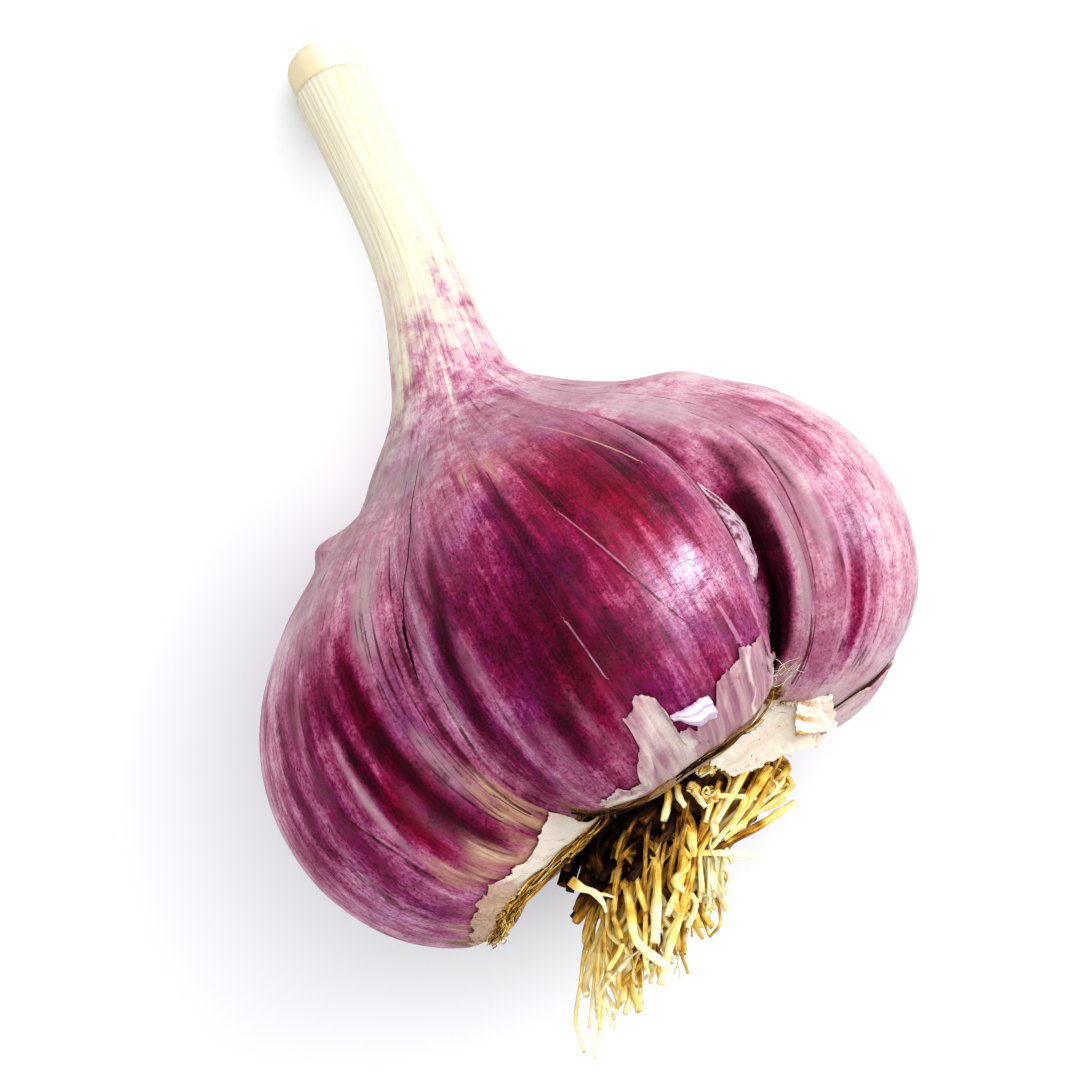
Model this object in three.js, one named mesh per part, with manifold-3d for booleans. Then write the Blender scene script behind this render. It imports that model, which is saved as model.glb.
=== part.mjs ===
// Garlic bulb lying on its side, in millimetres, +Z up.
//
// The bulb is first described upright: its axis is +Z, the root plate is at z = 0, -Y is the side that ends
// up on top and angles run from that side towards +X. It is then laid down, stem towards +Y, so that it rests
// on the backs of two cloves and on the end of its stem.
import * as THREE from 'three';
import { mergeVertices } from 'three/addons/utils/BufferGeometryUtils.js';
import Module from 'manifold-3d';

const wasm = await Module();
wasm.setup();

// --- Driving dimensions -------------------------------------------------------------------------------------

const AXIS_TILT = 16; // degrees that the root end is tipped up
const FLAT_DEPTH = 0.3; // how much of the lowest clove is pressed flat where it rests
const LOWEST = { angle: 167, knot: 7 }; // the place on that clove which lies lowest

// Radius and height along the back of a clove, from the root plate over the shoulder, and along the furrow
// between two cloves. Both go on up the neck and the stem as one round sheath.
const SHEATH = [[4.4, 44], [3.65, 50.5], [3.3, 58], [3.3, 65], [3.4, 70.8]];
const RIDGE = [[5.5, 1.8], [9.5, -0.4], [15, -2], [21.5, -1.4], [26.8, 1.8], [29.7, 7.2], [30.2, 13.2],
  [28.9, 18.9], [25.8, 24.2], [21, 28.7], [15, 32.3], [9.6, 35.5], [6, 39], ...SHEATH];
const FURROW = [[5.5, 1.8], [9, 1.4], [13.5, 1.6], [18, 3.2], [21.6, 6.2], [24, 10], [25.2, 14.4],
  [24.7, 19.4], [22.2, 24.2], [18.2, 28.3], [13.4, 31.7], [9.1, 35.3], [5.9, 39], ...SHEATH];
const BELLY_KNOT = 2.5; // knot of the profile about which a clove hangs lower
const SHOULDER_KNOT = 9; // knot about which its shoulder stands higher

// Each clove runs from its own furrow to the next one: the furrow's angle and depth, the steepness of the
// flanks on its two sides, and the clove's fullness, how much lower it hangs and how much higher it shoulders.
const CLOVES = [
  { furrow: -27.5, depth: 0.8, before: 2.2, after: 2.6, full: 1, drop: 0.3, shoulder: 0 },
  { furrow: 38, depth: 1.35, before: 4, after: 1.7, full: 0.99, drop: 0, shoulder: -1.6 },
  { furrow: 98, depth: 1, before: 2, after: 2, full: 0.965, drop: 0.3, shoulder: -0.6 },
  { furrow: 139, depth: 1, before: 2, after: 2, full: 0.98, drop: 0, shoulder: 0 },
  { furrow: 181, depth: 1, before: 2, after: 2, full: 0.984, drop: -0.6, shoulder: 0 },
  { furrow: 222, depth: 1, before: 2, after: 2, full: 0.96, drop: -2, shoulder: 0 },
  { furrow: 262, depth: 1, before: 2, after: 2, full: 1.05, drop: 1.8, shoulder: -0.4 },
];

// Places where the skin stands off that form, by angle and knot with their half sizes. The undersides of the
// two upper cloves draw in towards the root plate (mm upwards). A nub, two humps on the right shoulder and the
// hollows beside them stand out or lie in (mm outwards).
const UNDERSIDES = [
  { angle: -43, knot: 2, width: 13, length: 1, rise: 2.2 },
  { angle: 8, knot: 2.3, width: 24, length: 0.85, rise: 1.6 },
];
const BUMPS = [
  { angle: -60, knot: 10.1, width: 8, length: 0.3, rise: 1 },
  { angle: 55, knot: 9.75, width: 9, length: 0.35, rise: 0.8 },
  { angle: 50, knot: 10.7, width: 10, length: 0.5, rise: -0.4 },
  { angle: 78, knot: 8.3, width: 10, length: 0.5, rise: 0.5 },
  { angle: -80, knot: 12, width: 28, length: 0.7, rise: -0.4 },
];

// The stem leans towards +X as it leaves the neck, less so further up, and bends down to the ground.
const STEM_LEAN = { neck: 19, end: 7, from: 28.5, to: 38, easeFrom: 42, easeTo: 58 };
const STEM_DROOP = { angle: 16.7, from: 33, to: 52 };

const COLUMNS_PER_CLOVE = 9;
const ROWS = 36;

const SOCKET = { radius: 2.75, depth: 5 };
const CORE = { radius: 2.45, proud: 4, proudRadius: 3.05, lip: 0.35 };
const GAP = 0.3; // between neighbouring pieces

const PLATE = [[0, 1.45], [4.9, 1.45], [6.2, 0.2], [8.2, -0.9], [7.6, -2.6], [5, -3.8], [0, -4.4]];
const ROOTS = { count: 40, ring: 7.2, radius: 0.52, sides: 5, steps: 6, seed: 11 };

const SKIN_THICKNESS = 0.35;
const FACET_ROOM = 0.1; // more room under a remnant, because the facets cut inside the true surface
const GOLDEN_ANGLE = Math.PI * (3 - Math.sqrt(5)); // spreads the roots evenly over the plate

// --- The upright bulb ---------------------------------------------------------------------------------------

const radians = THREE.MathUtils.degToRad;
const smooth = (x, from, to) => THREE.MathUtils.smoothstep(x, from, to);

/** Point of a smooth profile through [radius, height] knots, at knot number q. */
function profileAt(knots, q) {
  const last = knots.length - 1;
  const i = Math.min(Math.floor(q), last - 1);
  const f = q - i;
  const knot = (j) => {
    if (j < 0) return knots[0].map((value, k) => 2 * value - knots[1][k]);
    if (j > last) return knots[last].map((value, k) => 2 * value - knots[last - 1][k]);
    return knots[j];
  };
  const [a, b, c, d] = [knot(i - 1), knot(i), knot(i + 1), knot(i + 2)];
  return a.map((_, k) => 0.5 * (2 * b[k] + (c[k] - a[k]) * f + (2 * a[k] - 5 * b[k] + 4 * c[k] - d[k]) * f * f
    + (3 * b[k] - a[k] - 3 * c[k] + d[k]) * f ** 3));
}

/** Direction of the bulb's centreline at a height: straight up, then leaning and drooping in the stem. */
function heading(height) {
  const { neck, end, from, to, easeFrom, easeTo } = STEM_LEAN;
  const lean = radians(neck * smooth(height, from, to) - (neck - end) * smooth(height, easeFrom, easeTo));
  const droop = radians(STEM_DROOP.angle * smooth(height, STEM_DROOP.from, STEM_DROOP.to));
  return new THREE.Vector3(Math.sin(lean) * Math.cos(droop), Math.sin(droop), Math.cos(lean) * Math.cos(droop));
}

const CENTRE_STEP = 0.25;
const CENTRELINE = [new THREE.Vector3()];
for (let height = CENTRE_STEP; height < 90; height += CENTRE_STEP) {
  CENTRELINE.push(heading(height).multiplyScalar(CENTRE_STEP).add(CENTRELINE.at(-1)));
}

/** Point on the centreline, extended straight down below the root plate. */
function centreAt(height) {
  if (height <= 0) return new THREE.Vector3(0, 0, height);
  const i = Math.floor(height / CENTRE_STEP);
  return CENTRELINE[i].clone().lerp(CENTRELINE[i + 1], height / CENTRE_STEP - i);
}

/** Axes of the cross-section at a height: level in the cloves, square to the centreline in the stem. */
function sectionAxes(height) {
  const up = new THREE.Vector3(0, 0, 1).lerp(heading(height), smooth(height, 34, 44)).normalize();
  const right = new THREE.Vector3(1, 0, 0).addScaledVector(up, -up.x).normalize();
  return { up, right, back: new THREE.Vector3().crossVectors(up, right) };
}

/** Point at an angle in degrees and a distance from the centreline. */
function around(angle, radius, height) {
  const { right, back } = sectionAxes(height);
  return centreAt(height)
    .addScaledVector(right, radius * Math.sin(radians(angle)))
    .addScaledVector(back, -radius * Math.cos(radians(angle)));
}

/** The clove that holds an angle, and how far across it the angle is, from -1 to 1. */
function cloveAt(angle) {
  const turn = THREE.MathUtils.euclideanModulo(angle - CLOVES[0].furrow, 360);
  const starts = CLOVES.map((clove) => clove.furrow - CLOVES[0].furrow);
  const index = starts.findLastIndex((start) => start <= turn);
  const end = starts[index + 1] ?? 360;
  return { index, across: 2 * (turn - starts[index]) / (end - starts[index]) - 1 };
}

/** Point of the bulb's outer skin at an angle in degrees and a knot number of the profile. */
function surfaceAt(angle, q) {
  const { index, across } = cloveAt(angle);
  const clove = CLOVES[index];
  const next = CLOVES[(index + 1) % CLOVES.length];
  const steepness = across < 0 ? clove.after : next.before;
  const onBack = 1 - Math.abs(across) ** steepness;
  const depth = THREE.MathUtils.lerp(clove.depth, next.depth, (across + 1) / 2);
  const bump = (knot, width) => Math.exp(-(((q - knot) / width) ** 2));
  const standOff = (places) => places.reduce((sum, place) => {
    const aside = THREE.MathUtils.euclideanModulo(angle - place.angle + 180, 360) - 180;
    return sum + place.rise * Math.exp(-((aside / place.width) ** 2)) * bump(place.knot, place.length);
  }, 0);

  const [ridgeR, ridgeZ] = profileAt(RIDGE, q);
  const [furrowR, furrowZ] = profileAt(FURROW, q);
  const backR = ridgeR * (1 + (clove.full - 1) * THREE.MathUtils.clamp((ridgeR - 6) / 12, 0, 1));
  const backZ = ridgeZ - clove.drop * bump(BELLY_KNOT, 1.6) + clove.shoulder * bump(SHOULDER_KNOT, 2)
    + standOff(UNDERSIDES);
  const valleyR = ridgeR + depth * (furrowR - ridgeR);
  const valleyZ = ridgeZ + depth * (furrowZ - ridgeZ);
  const radius = THREE.MathUtils.lerp(valleyR, backR, onBack) + standOff(BUMPS);
  return around(angle, radius, THREE.MathUtils.lerp(valleyZ, backZ, onBack));
}

/** Outward direction of the skin. */
function normalAt(angle, q) {
  const here = surfaceAt(angle, q);
  const along = surfaceAt(angle, q + 0.01).sub(here);
  const aside = surfaceAt(angle + 0.1, q).sub(here);
  return aside.cross(along).normalize();
}

// --- Mesh helpers -------------------------------------------------------------------------------------------

/** Geometry from points and triangles. */
function geometryOf(points, triangles) {
  const geometry = new THREE.BufferGeometry();
  geometry.setAttribute('position', new THREE.Float32BufferAttribute(points.flatMap((p) => [p.x, p.y, p.z]), 3));
  geometry.setIndex(triangles.flat());
  return geometry;
}

/** Solid for joining and cutting, from a closed geometry. */
function solidOf(geometry) {
  const bare = geometry.clone();
  bare.deleteAttribute('normal');
  bare.deleteAttribute('uv');
  const merged = mergeVertices(bare, 1e-4);
  return new wasm.Manifold(new wasm.Mesh({
    numProp: 3,
    vertProperties: new Float32Array(merged.attributes.position.array),
    triVerts: new Uint32Array(merged.index.array),
  }));
}

function geometryFromSolid(solid) {
  const { vertProperties, triVerts } = solid.getMesh();
  const geometry = new THREE.BufferGeometry();
  geometry.setAttribute('position', new THREE.BufferAttribute(vertProperties, 3));
  geometry.setIndex(new THREE.BufferAttribute(triVerts, 1));
  return geometry;
}

/** Closed thin sheet on a grid of points, with its thickness along the normals. */
function sheet(pointAt, normalOf, across, along) {
  const points = [];
  const triangles = [];
  const row = along + 1;
  const layer = (across + 1) * row;
  for (const lift of [0, SKIN_THICKNESS]) {
    for (let i = 0; i <= across; i++) {
      for (let j = 0; j <= along; j++) {
        const [u, v] = [i / across, j / along];
        points.push(pointAt(u, v).addScaledVector(normalOf(u, v), lift));
      }
    }
  }
  const quad = (a, b, c, d) => triangles.push([a, b, c], [a, c, d]);
  for (let i = 0; i < across; i++) {
    for (let j = 0; j < along; j++) {
      const a = i * row + j;
      quad(a, a + 1, a + row + 1, a + row);
      quad(layer + a, layer + a + row, layer + a + row + 1, layer + a + 1);
    }
  }
  const rim = [];
  for (let i = 0; i < across; i++) rim.push(i * row);
  for (let j = 0; j < along; j++) rim.push(across * row + j);
  for (let i = across; i > 0; i--) rim.push(i * row + along);
  for (let j = along; j > 0; j--) rim.push(j);
  rim.forEach((a, k) => {
    const b = rim[(k + 1) % rim.length];
    quad(a, b, layer + b, layer + a);
  });
  return geometryOf(points, triangles);
}

// --- Sub-parts ----------------------------------------------------------------------------------------------

/** Skin of the cloves, neck and stem as one closed body, capped at the root plate and the stem's end. */
function bulbSkin() {
  const columns = CLOVES.length * COLUMNS_PER_CLOVE;
  const lastKnot = RIDGE.length - 1;
  const points = [];
  for (let column = 0; column < columns; column++) {
    const clove = Math.floor(column / COLUMNS_PER_CLOVE);
    const start = CLOVES[clove].furrow;
    const end = CLOVES[clove + 1]?.furrow ?? CLOVES[0].furrow + 360;
    const angle = THREE.MathUtils.lerp(start, end, (column % COLUMNS_PER_CLOVE) / COLUMNS_PER_CLOVE);
    for (let k = 0; k <= ROWS; k++) points.push(surfaceAt(angle, lastKnot * k / ROWS));
  }
  const foot = points.push(new THREE.Vector3(0, 0, RIDGE[0][1])) - 1;
  const tip = points.push(centreAt(RIDGE[lastKnot][1])) - 1;

  const triangles = [];
  for (let column = 0; column < columns; column++) {
    const here = column * (ROWS + 1);
    const there = ((column + 1) % columns) * (ROWS + 1);
    for (let k = 0; k < ROWS; k++) {
      triangles.push([here + k, there + k, there + k + 1], [here + k, there + k + 1, here + k + 1]);
    }
    triangles.push([foot, there, here], [tip, here + ROWS, there + ROWS]);
  }
  return geometryOf(points, triangles);
}

/** Matrix that puts a shape drawn along +Z on the end of the stem. */
function stemEnd() {
  const height = RIDGE.at(-1)[1];
  const { up, right, back } = sectionAxes(height);
  return new THREE.Matrix4().makeBasis(right, back, up).setPosition(centreAt(height));
}

/** Bulb body: the skin with a socket in the stem's end. */
function bulbBody() {
  const bore = new THREE.CylinderGeometry(SOCKET.radius, SOCKET.radius, 2 * SOCKET.depth, 20)
    .rotateX(Math.PI / 2)
    .applyMatrix4(stemEnd());
  return geometryFromSolid(solidOf(bulbSkin()).subtract(solidOf(bore)));
}

/** Inner stem: a plug in the socket, with a rounded end that stands out of the sheath. */
function stemCore() {
  const { radius, proud, proudRadius, lip } = CORE;
  const profile = [[0, GAP - SOCKET.depth], [radius, GAP - SOCKET.depth], [radius, lip], [proudRadius, lip],
    [proudRadius, proud - 0.9], [proudRadius - 0.5, proud - 0.2], [proudRadius - 1.4, proud], [0, proud]];
  return new THREE.LatheGeometry(profile.map(([r, z]) => new THREE.Vector2(r, z)), 20)
    .rotateX(Math.PI / 2)
    .applyMatrix4(stemEnd());
}

/** Basal plate with its tuft of dry roots, all grown as one piece. */
function rootCrown() {
  let state = ROOTS.seed;
  const random = () => {
    state = (state * 16807) % 2147483647;
    return state / 2147483647;
  };
  const jitter = (size) => size * (2 * random() - 1);

  const plate = new THREE.LatheGeometry(PLATE.slice().reverse().map(([r, z]) => new THREE.Vector2(r, z)), 24)
    .rotateX(Math.PI / 2);
  const section = new THREE.Shape(Array.from({ length: ROOTS.sides }, (_, k) => {
    const angle = 2 * Math.PI * k / ROOTS.sides;
    return new THREE.Vector2(ROOTS.radius * Math.cos(angle), ROOTS.radius * Math.sin(angle));
  }));

  // The roots leave the plate evenly over its face, spread a little and all sweep towards -X. They are
  // shortest on the +X side.
  let crown = solidOf(plate);
  for (let k = 0; k < ROOTS.count; k++) {
    const angle = GOLDEN_ANGLE * k;
    const out = Math.sqrt((k + 0.5) / ROOTS.count);
    const [x, y] = [ROOTS.ring * out * Math.cos(angle), ROOTS.ring * out * Math.sin(angle)];
    const side = x / ROOTS.ring;
    const length = 9.6 - 5 * Math.max(side, 0) ** 2 - 1.2 * side + jitter(1.8);
    const start = new THREE.Vector3(x, y, -2.2);
    const bend = new THREE.Vector3(x * 1.2 - 0.15 * length + jitter(1), y * 1.2 + jitter(1), -2.6 - 0.45 * length);
    const tip = new THREE.Vector3(x * 0.9 - 0.75 * length + jitter(1.6), y * 1.1 + jitter(2), -2.8 - length);
    const root = new THREE.ExtrudeGeometry(section, {
      steps: ROOTS.steps,
      bevelEnabled: false,
      extrudePath: new THREE.QuadraticBezierCurve3(start, bend, tip),
    });
    crown = crown.add(solidOf(root));
  }
  return geometryFromSolid(crown);
}

/** Remnant of papery skin that lies on the bulb between two angles and two knots. */
function clingingSkin({ from, to, low, high, across = 8, along = 4 }) {
  const at = (u, v) => [THREE.MathUtils.lerp(from, to, u), THREE.MathUtils.lerp(low(u), high(u), v)];
  const normalOf = (u, v) => normalAt(...at(u, v));
  const pointAt = (u, v) => surfaceAt(...at(u, v)).addScaledVector(normalOf(u, v), GAP + FACET_ROOM);
  return sheet(pointAt, normalOf, across, along);
}

/** Geometry laid down and pressed flat where it meets the ground. */
function pressed(geometry) {
  const ground = new THREE.BoxGeometry(200, 300, 40).translate(0, 0, groundZ - 20);
  return geometryFromSolid(solidOf(geometry.applyMatrix4(lay)).subtract(solidOf(ground)));
}

/** Loose piece of papery skin spread between four corners and bulging towards the front. */
function looseSkin({ corners, bulge, across = 5, along = 4 }) {
  const [a, b, c, d] = corners.map((corner) => new THREE.Vector3(...corner));
  const flat = new THREE.Vector3().subVectors(c, a).cross(new THREE.Vector3().subVectors(d, b)).normalize();
  const pointAt = (u, v) => a.clone().lerp(b, u).lerp(d.clone().lerp(c, u), v)
    .addScaledVector(flat, bulge * 16 * u * (1 - u) * v * (1 - v));
  return sheet(pointAt, () => flat, across, along);
}

// --- Assembly -----------------------------------------------------------------------------------------------

const COLOURS = {
  skin: { color: 0x8a2f63, roughness: 0.45 },
  stem: { color: 0xf0e6c0, roughness: 0.6 },
  root: { color: 0xc9a55c, roughness: 0.85 },
  paper: { color: 0xe6d3c4, roughness: 0.7 },
};

const bulb = new THREE.Group();
const lay = new THREE.Matrix4().makeRotationX(-Math.PI / 2 - radians(AXIS_TILT));
const groundZ = surfaceAt(LOWEST.angle, LOWEST.knot).applyMatrix4(lay).z + FLAT_DEPTH;

function addPiece(name, geometry, look) {
  const material = new THREE.MeshStandardMaterial({ ...COLOURS[look], metalness: 0 });
  const piece = new THREE.Mesh(geometry, material);
  piece.name = name;
  bulb.add(piece);
}

addPiece('bulb_body', pressed(bulbBody()), 'skin');
addPiece('stem_core', pressed(stemCore()), 'stem');
addPiece('root_crown', rootCrown().applyMatrix4(lay), 'root');

// Torn outer skin left at the base: on the front clove, under the cloves beside it, and behind.
addPiece('skin_patch_front', clingingSkin({
  from: -14, to: 33, low: (u) => 2.7 + 0.6 * u, high: (u) => 3.7 + 0.6 * Math.sin(Math.PI * u),
  across: 12, along: 5,
}).applyMatrix4(lay), 'paper');
addPiece('skin_strip_left', clingingSkin({
  from: -70, to: -31, low: (u) => 2.7 - 0.8 * u, high: (u) => 3.3 + 0.2 * Math.sin(Math.PI * u),
}).applyMatrix4(lay), 'paper');
addPiece('skin_strip_right', clingingSkin({
  from: 70, to: 94, low: () => 2, high: (u) => 2.9 + 0.7 * Math.sin(Math.PI * u),
}).applyMatrix4(lay), 'paper');
addPiece('skin_strip_back', clingingSkin({
  from: 186, to: 218, low: () => 1.3, high: (u) => 2.7 + 0.5 * Math.cos(Math.PI * u),
}).applyMatrix4(lay), 'paper');
addPiece('skin_flake_right', looseSkin({
  corners: [[2.3, -9.2, -1.5], [10.6, -10.6, -0.4], [15.1, -8, -2.4], [10.8, -9.5, -6.5]], bulge: 0.5,
}).applyMatrix4(lay), 'paper');
addPiece('skin_curl', looseSkin({
  corners: [[3, -28.8, 1.5], [6.6, -28.8, 2.7], [6.2, -28.1, 0.7], [3.2, -28.1, 0.1]], bulge: 0.5,
  across: 4, along: 3,
}).applyMatrix4(lay), 'paper');
addPiece('root_fibre', looseSkin({
  corners: [[-12.2, -12, -3.4], [-11.2, -12, -3.4], [-10.2, -12.6, -6.6], [-11.2, -12.6, -6.6]],
  bulge: 0.1, across: 1, along: 3,
}).applyMatrix4(lay), 'paper');

// The origin is under the middle of the whole bulb, on the ground.
const box = new THREE.Box3().setFromObject(bulb);
const middle = box.getCenter(new THREE.Vector3());
bulb.position.set(-middle.x, -middle.y, -groundZ);

export default bulb;
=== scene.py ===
"""A garlic bulb lying on its side: the finish of every surface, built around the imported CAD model.

Shapes are worked out in millimetres in the bulb's own upright frame, with the root plate at height 0 and
the stem upwards. Angles are in degrees and run from the side that ends up on top towards +X. A profile knot
counts the control points from the root plate (0) over the shoulder (9) to the end of the stem (17). lay()
turns these points into the frame of the CAD model, in metres. Colours are linear RGB.
"""
import math

import bpy
import numpy as np
from mathutils import Matrix, Vector


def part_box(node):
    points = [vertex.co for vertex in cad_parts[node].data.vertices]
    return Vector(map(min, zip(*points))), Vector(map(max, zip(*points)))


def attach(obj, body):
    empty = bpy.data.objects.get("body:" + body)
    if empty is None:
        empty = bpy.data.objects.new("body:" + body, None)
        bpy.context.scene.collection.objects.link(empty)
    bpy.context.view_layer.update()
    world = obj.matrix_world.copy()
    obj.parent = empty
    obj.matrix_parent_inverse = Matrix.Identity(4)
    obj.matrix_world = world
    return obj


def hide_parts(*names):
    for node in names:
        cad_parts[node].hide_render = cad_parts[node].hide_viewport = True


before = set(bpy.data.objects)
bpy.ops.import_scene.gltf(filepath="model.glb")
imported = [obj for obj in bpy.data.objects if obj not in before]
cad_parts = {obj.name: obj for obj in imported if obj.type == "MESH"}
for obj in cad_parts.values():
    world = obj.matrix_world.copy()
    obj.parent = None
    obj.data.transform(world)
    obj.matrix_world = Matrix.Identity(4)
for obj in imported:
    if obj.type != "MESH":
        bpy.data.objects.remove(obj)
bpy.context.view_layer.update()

# --- The bulb's form ----------------------------------------------------------------------------------------

AXIS_TILT = math.radians(16)
SHEATH = [(4.4, 44), (3.65, 50.5), (3.3, 58), (3.3, 65), (3.4, 70.8)]
RIDGE = np.array([(5.5, 1.8), (9.5, -0.4), (15, -2), (21.5, -1.4), (26.8, 1.8), (29.7, 7.2), (30.2, 13.2),
                  (28.9, 18.9), (25.8, 24.2), (21, 28.7), (15, 32.3), (9.6, 35.5), (6, 39), *SHEATH])
FURROW = np.array([(5.5, 1.8), (9, 1.4), (13.5, 1.6), (18, 3.2), (21.6, 6.2), (24, 10), (25.2, 14.4),
                   (24.7, 19.4), (22.2, 24.2), (18.2, 28.3), (13.4, 31.7), (9.1, 35.3), (5.9, 39), *SHEATH])
LAST_KNOT = len(RIDGE) - 1
GROUND_GAP = 0.00002  # metres that the lowest skin stays clear of the ground
BELLY_KNOT = 2.5
BELLY_SPREAD = 1.6
SHOULDER_KNOT = 9
SHOULDER_SPREAD = 2
NECK_RADIUS = 6  # mm, where a clove's own fullness begins
CLOVE_RADIUS = 18  # mm, where it is complete
SQUARE_HEIGHTS = (34, 44)  # mm over which the skin's rings turn square to the leaning stem

# Each clove: the angle and depth of the furrow it starts at, the steepness of the flanks before and after it,
# and the clove's fullness, how much lower it hangs and how much higher it shoulders.
CLOVE_KEYS = ("furrow", "depth", "before", "after", "full", "drop", "shoulder")
CLOVES = [
    (-27.5, 0.8, 2.2, 2.6, 1.0, 0.3, 0),
    (38, 1.35, 4, 1.7, 0.99, 0, -1.6),
    (98, 1, 2, 2, 0.965, 0.3, -0.6),
    (139, 1, 2, 2, 0.98, 0, 0),
    (181, 1, 2, 2, 0.984, -0.6, 0),
    (222, 1, 2, 2, 0.96, -2, 0),
    (262, 1, 2, 2, 1.05, 1.8, -0.4),
]
CLOVE = {key: np.array([clove[k] for clove in CLOVES], float) for k, key in enumerate(CLOVE_KEYS)}
# Where the cloves' undersides draw in towards the root plate: angle, knot, half width, half length, mm up.
HOLLOWS = [(-43, 2.0, 13, 1.0, 2.2), (8, 2.3, 24, 0.85, 1.6)]
# Where the skin stands out or lies in: angle, knot, half width, half length, mm outwards.
BUMPS = [(-60, 10.1, 8, 0.3, 1.0), (55, 9.75, 9, 0.35, 0.8), (50, 10.7, 10, 0.5, -0.4),
         (78, 8.3, 10, 0.5, 0.5), (-80, 12, 28, 0.7, -0.4)]
STEM_LEAN = dict(neck=19, end=7, start=28.5, stop=38, ease_start=42, ease_stop=58)
STEM_DROOP = dict(angle=16.7, start=33, stop=52)


def smooth(x, start, stop):
    """0 before start and 1 after stop, easing from one to the other."""
    t = np.clip((x - start) / (stop - start), 0, 1)
    return t * t * (3 - 2 * t)


def apart(angle, centre):
    """How far angles are from another one, from -180 to 180 degrees."""
    return (angle - centre + 180) % 360 - 180


def spot(angle, q, at, size, slant=0.0):
    """Soft patch round an (angle, knot), with its half sizes; slant turns it, in degrees a knot."""
    across = (apart(angle, at[0]) - slant * (q - at[1])) / size[0]
    return np.exp(-(across**2) - ((q - at[1]) / size[1]) ** 2)


def add_bumps(total, angle, q, table):
    """A radius or height with a table's soft bumps added to it."""
    for at_angle, at_q, width, length, rise in table:
        total = total + rise * spot(angle, q, (at_angle, at_q), (width, length))
    return total


def spline(knots, q):
    """Points of a smooth curve through its knots, at knot numbers q."""
    before, after = 2 * knots[0] - knots[1], 2 * knots[-1] - knots[-2]
    padded = np.vstack([before, knots, after])
    i = np.clip(np.floor(q).astype(int), 0, len(knots) - 2)
    f = (q - i)[..., None]
    a, b, c, d = (padded[i + k] for k in range(4))
    return 0.5 * (2 * b + (c - a) * f + (2 * a - 5 * b + 4 * c - d) * f**2 + (3 * b - a - 3 * c + d) * f**3)


def heading(height):
    """Direction of the centreline: straight up in the cloves, then leaning and drooping in the stem."""
    straighter = STEM_LEAN["neck"] - STEM_LEAN["end"]
    lean = STEM_LEAN["neck"] * smooth(height, STEM_LEAN["start"], STEM_LEAN["stop"])
    lean = np.radians(lean - straighter * smooth(height, STEM_LEAN["ease_start"], STEM_LEAN["ease_stop"]))
    droop = np.radians(STEM_DROOP["angle"] * smooth(height, STEM_DROOP["start"], STEM_DROOP["stop"]))
    return np.stack([np.sin(lean) * np.cos(droop), np.sin(droop), np.cos(lean) * np.cos(droop)], -1)


CENTRE_STEP = 0.25
CENTRE_HEIGHTS = np.arange(0, 90, CENTRE_STEP)
CENTRELINE = np.vstack([np.zeros(3), np.cumsum(heading(CENTRE_HEIGHTS[1:]) * CENTRE_STEP, 0)])


def unit(vectors):
    return vectors / np.linalg.norm(vectors, axis=-1, keepdims=True)


def around(angle, radius, height):
    """Points at an angle in degrees and a distance from the centreline."""
    centre = np.stack([np.interp(height, CENTRE_HEIGHTS, CENTRELINE[:, k]) for k in range(3)], -1)
    centre[..., 2] += np.minimum(height, 0)
    turn = smooth(height, *SQUARE_HEIGHTS)[..., None]
    up = unit(np.array([0, 0, 1.0]) * (1 - turn) + heading(height) * turn)
    right = unit(np.array([1.0, 0, 0]) - up * up[..., :1])
    back = np.cross(up, right)
    a = np.radians(angle)[..., None]
    return centre + radius[..., None] * (right * np.sin(a) - back * np.cos(a))


def clove_at(angle):
    """Index of the clove that holds each angle, and how far across it the angle is, from -1 to 1."""
    starts = np.append(CLOVE["furrow"] - CLOVE["furrow"][0], 360)
    turn = (angle - CLOVE["furrow"][0]) % 360
    index = np.clip(np.searchsorted(starts, turn, side="right") - 1, 0, len(CLOVES) - 1)
    return index, 2 * (turn - starts[index]) / (starts[index + 1] - starts[index]) - 1


def surface(angle, q):
    """Points of the bulb's skin at angles in degrees and knot numbers."""
    angle, q = np.broadcast_arrays(np.asarray(angle, float), np.asarray(q, float))
    index, across = clove_at(angle)
    after = (index + 1) % len(CLOVES)
    steepness = np.where(across < 0, CLOVE["after"][index], CLOVE["before"][after])
    on_back = 1 - np.abs(across) ** steepness
    depth = CLOVE["depth"][index] + (CLOVE["depth"][after] - CLOVE["depth"][index]) * (across + 1) / 2
    ridge, furrow = spline(RIDGE, q), spline(FURROW, q)
    in_clove = np.clip((ridge[..., 0] - NECK_RADIUS) / (CLOVE_RADIUS - NECK_RADIUS), 0, 1)
    back_r = ridge[..., 0] * (1 + (CLOVE["full"][index] - 1) * in_clove)
    back_z = ridge[..., 1] - CLOVE["drop"][index] * np.exp(-(((q - BELLY_KNOT) / BELLY_SPREAD) ** 2))
    back_z = back_z + CLOVE["shoulder"][index] * np.exp(-(((q - SHOULDER_KNOT) / SHOULDER_SPREAD) ** 2))
    back_z = add_bumps(back_z, angle, q, HOLLOWS)
    valley = ridge + depth[..., None] * (furrow - ridge)
    radius = add_bumps(valley[..., 0] + on_back * (back_r - valley[..., 0]), angle, q, BUMPS)
    height = valley[..., 1] + on_back * (back_z - valley[..., 1])
    return around(angle, radius, height)


def normals(angle, q):
    """Outward directions of the skin."""
    here = surface(angle, q)
    return unit(np.cross(surface(angle + 0.2, q) - here, surface(angle, q + 0.02) - here))


def raised(angle, q, height):
    """Points at heights in mm above the skin."""
    return surface(angle, q) + normals(angle, q) * height[..., None]


TURN = np.array([[1, 0, 0], [0, -math.sin(AXIS_TILT), math.cos(AXIS_TILT)],
                 [0, -math.cos(AXIS_TILT), -math.sin(AXIS_TILT)]])


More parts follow.
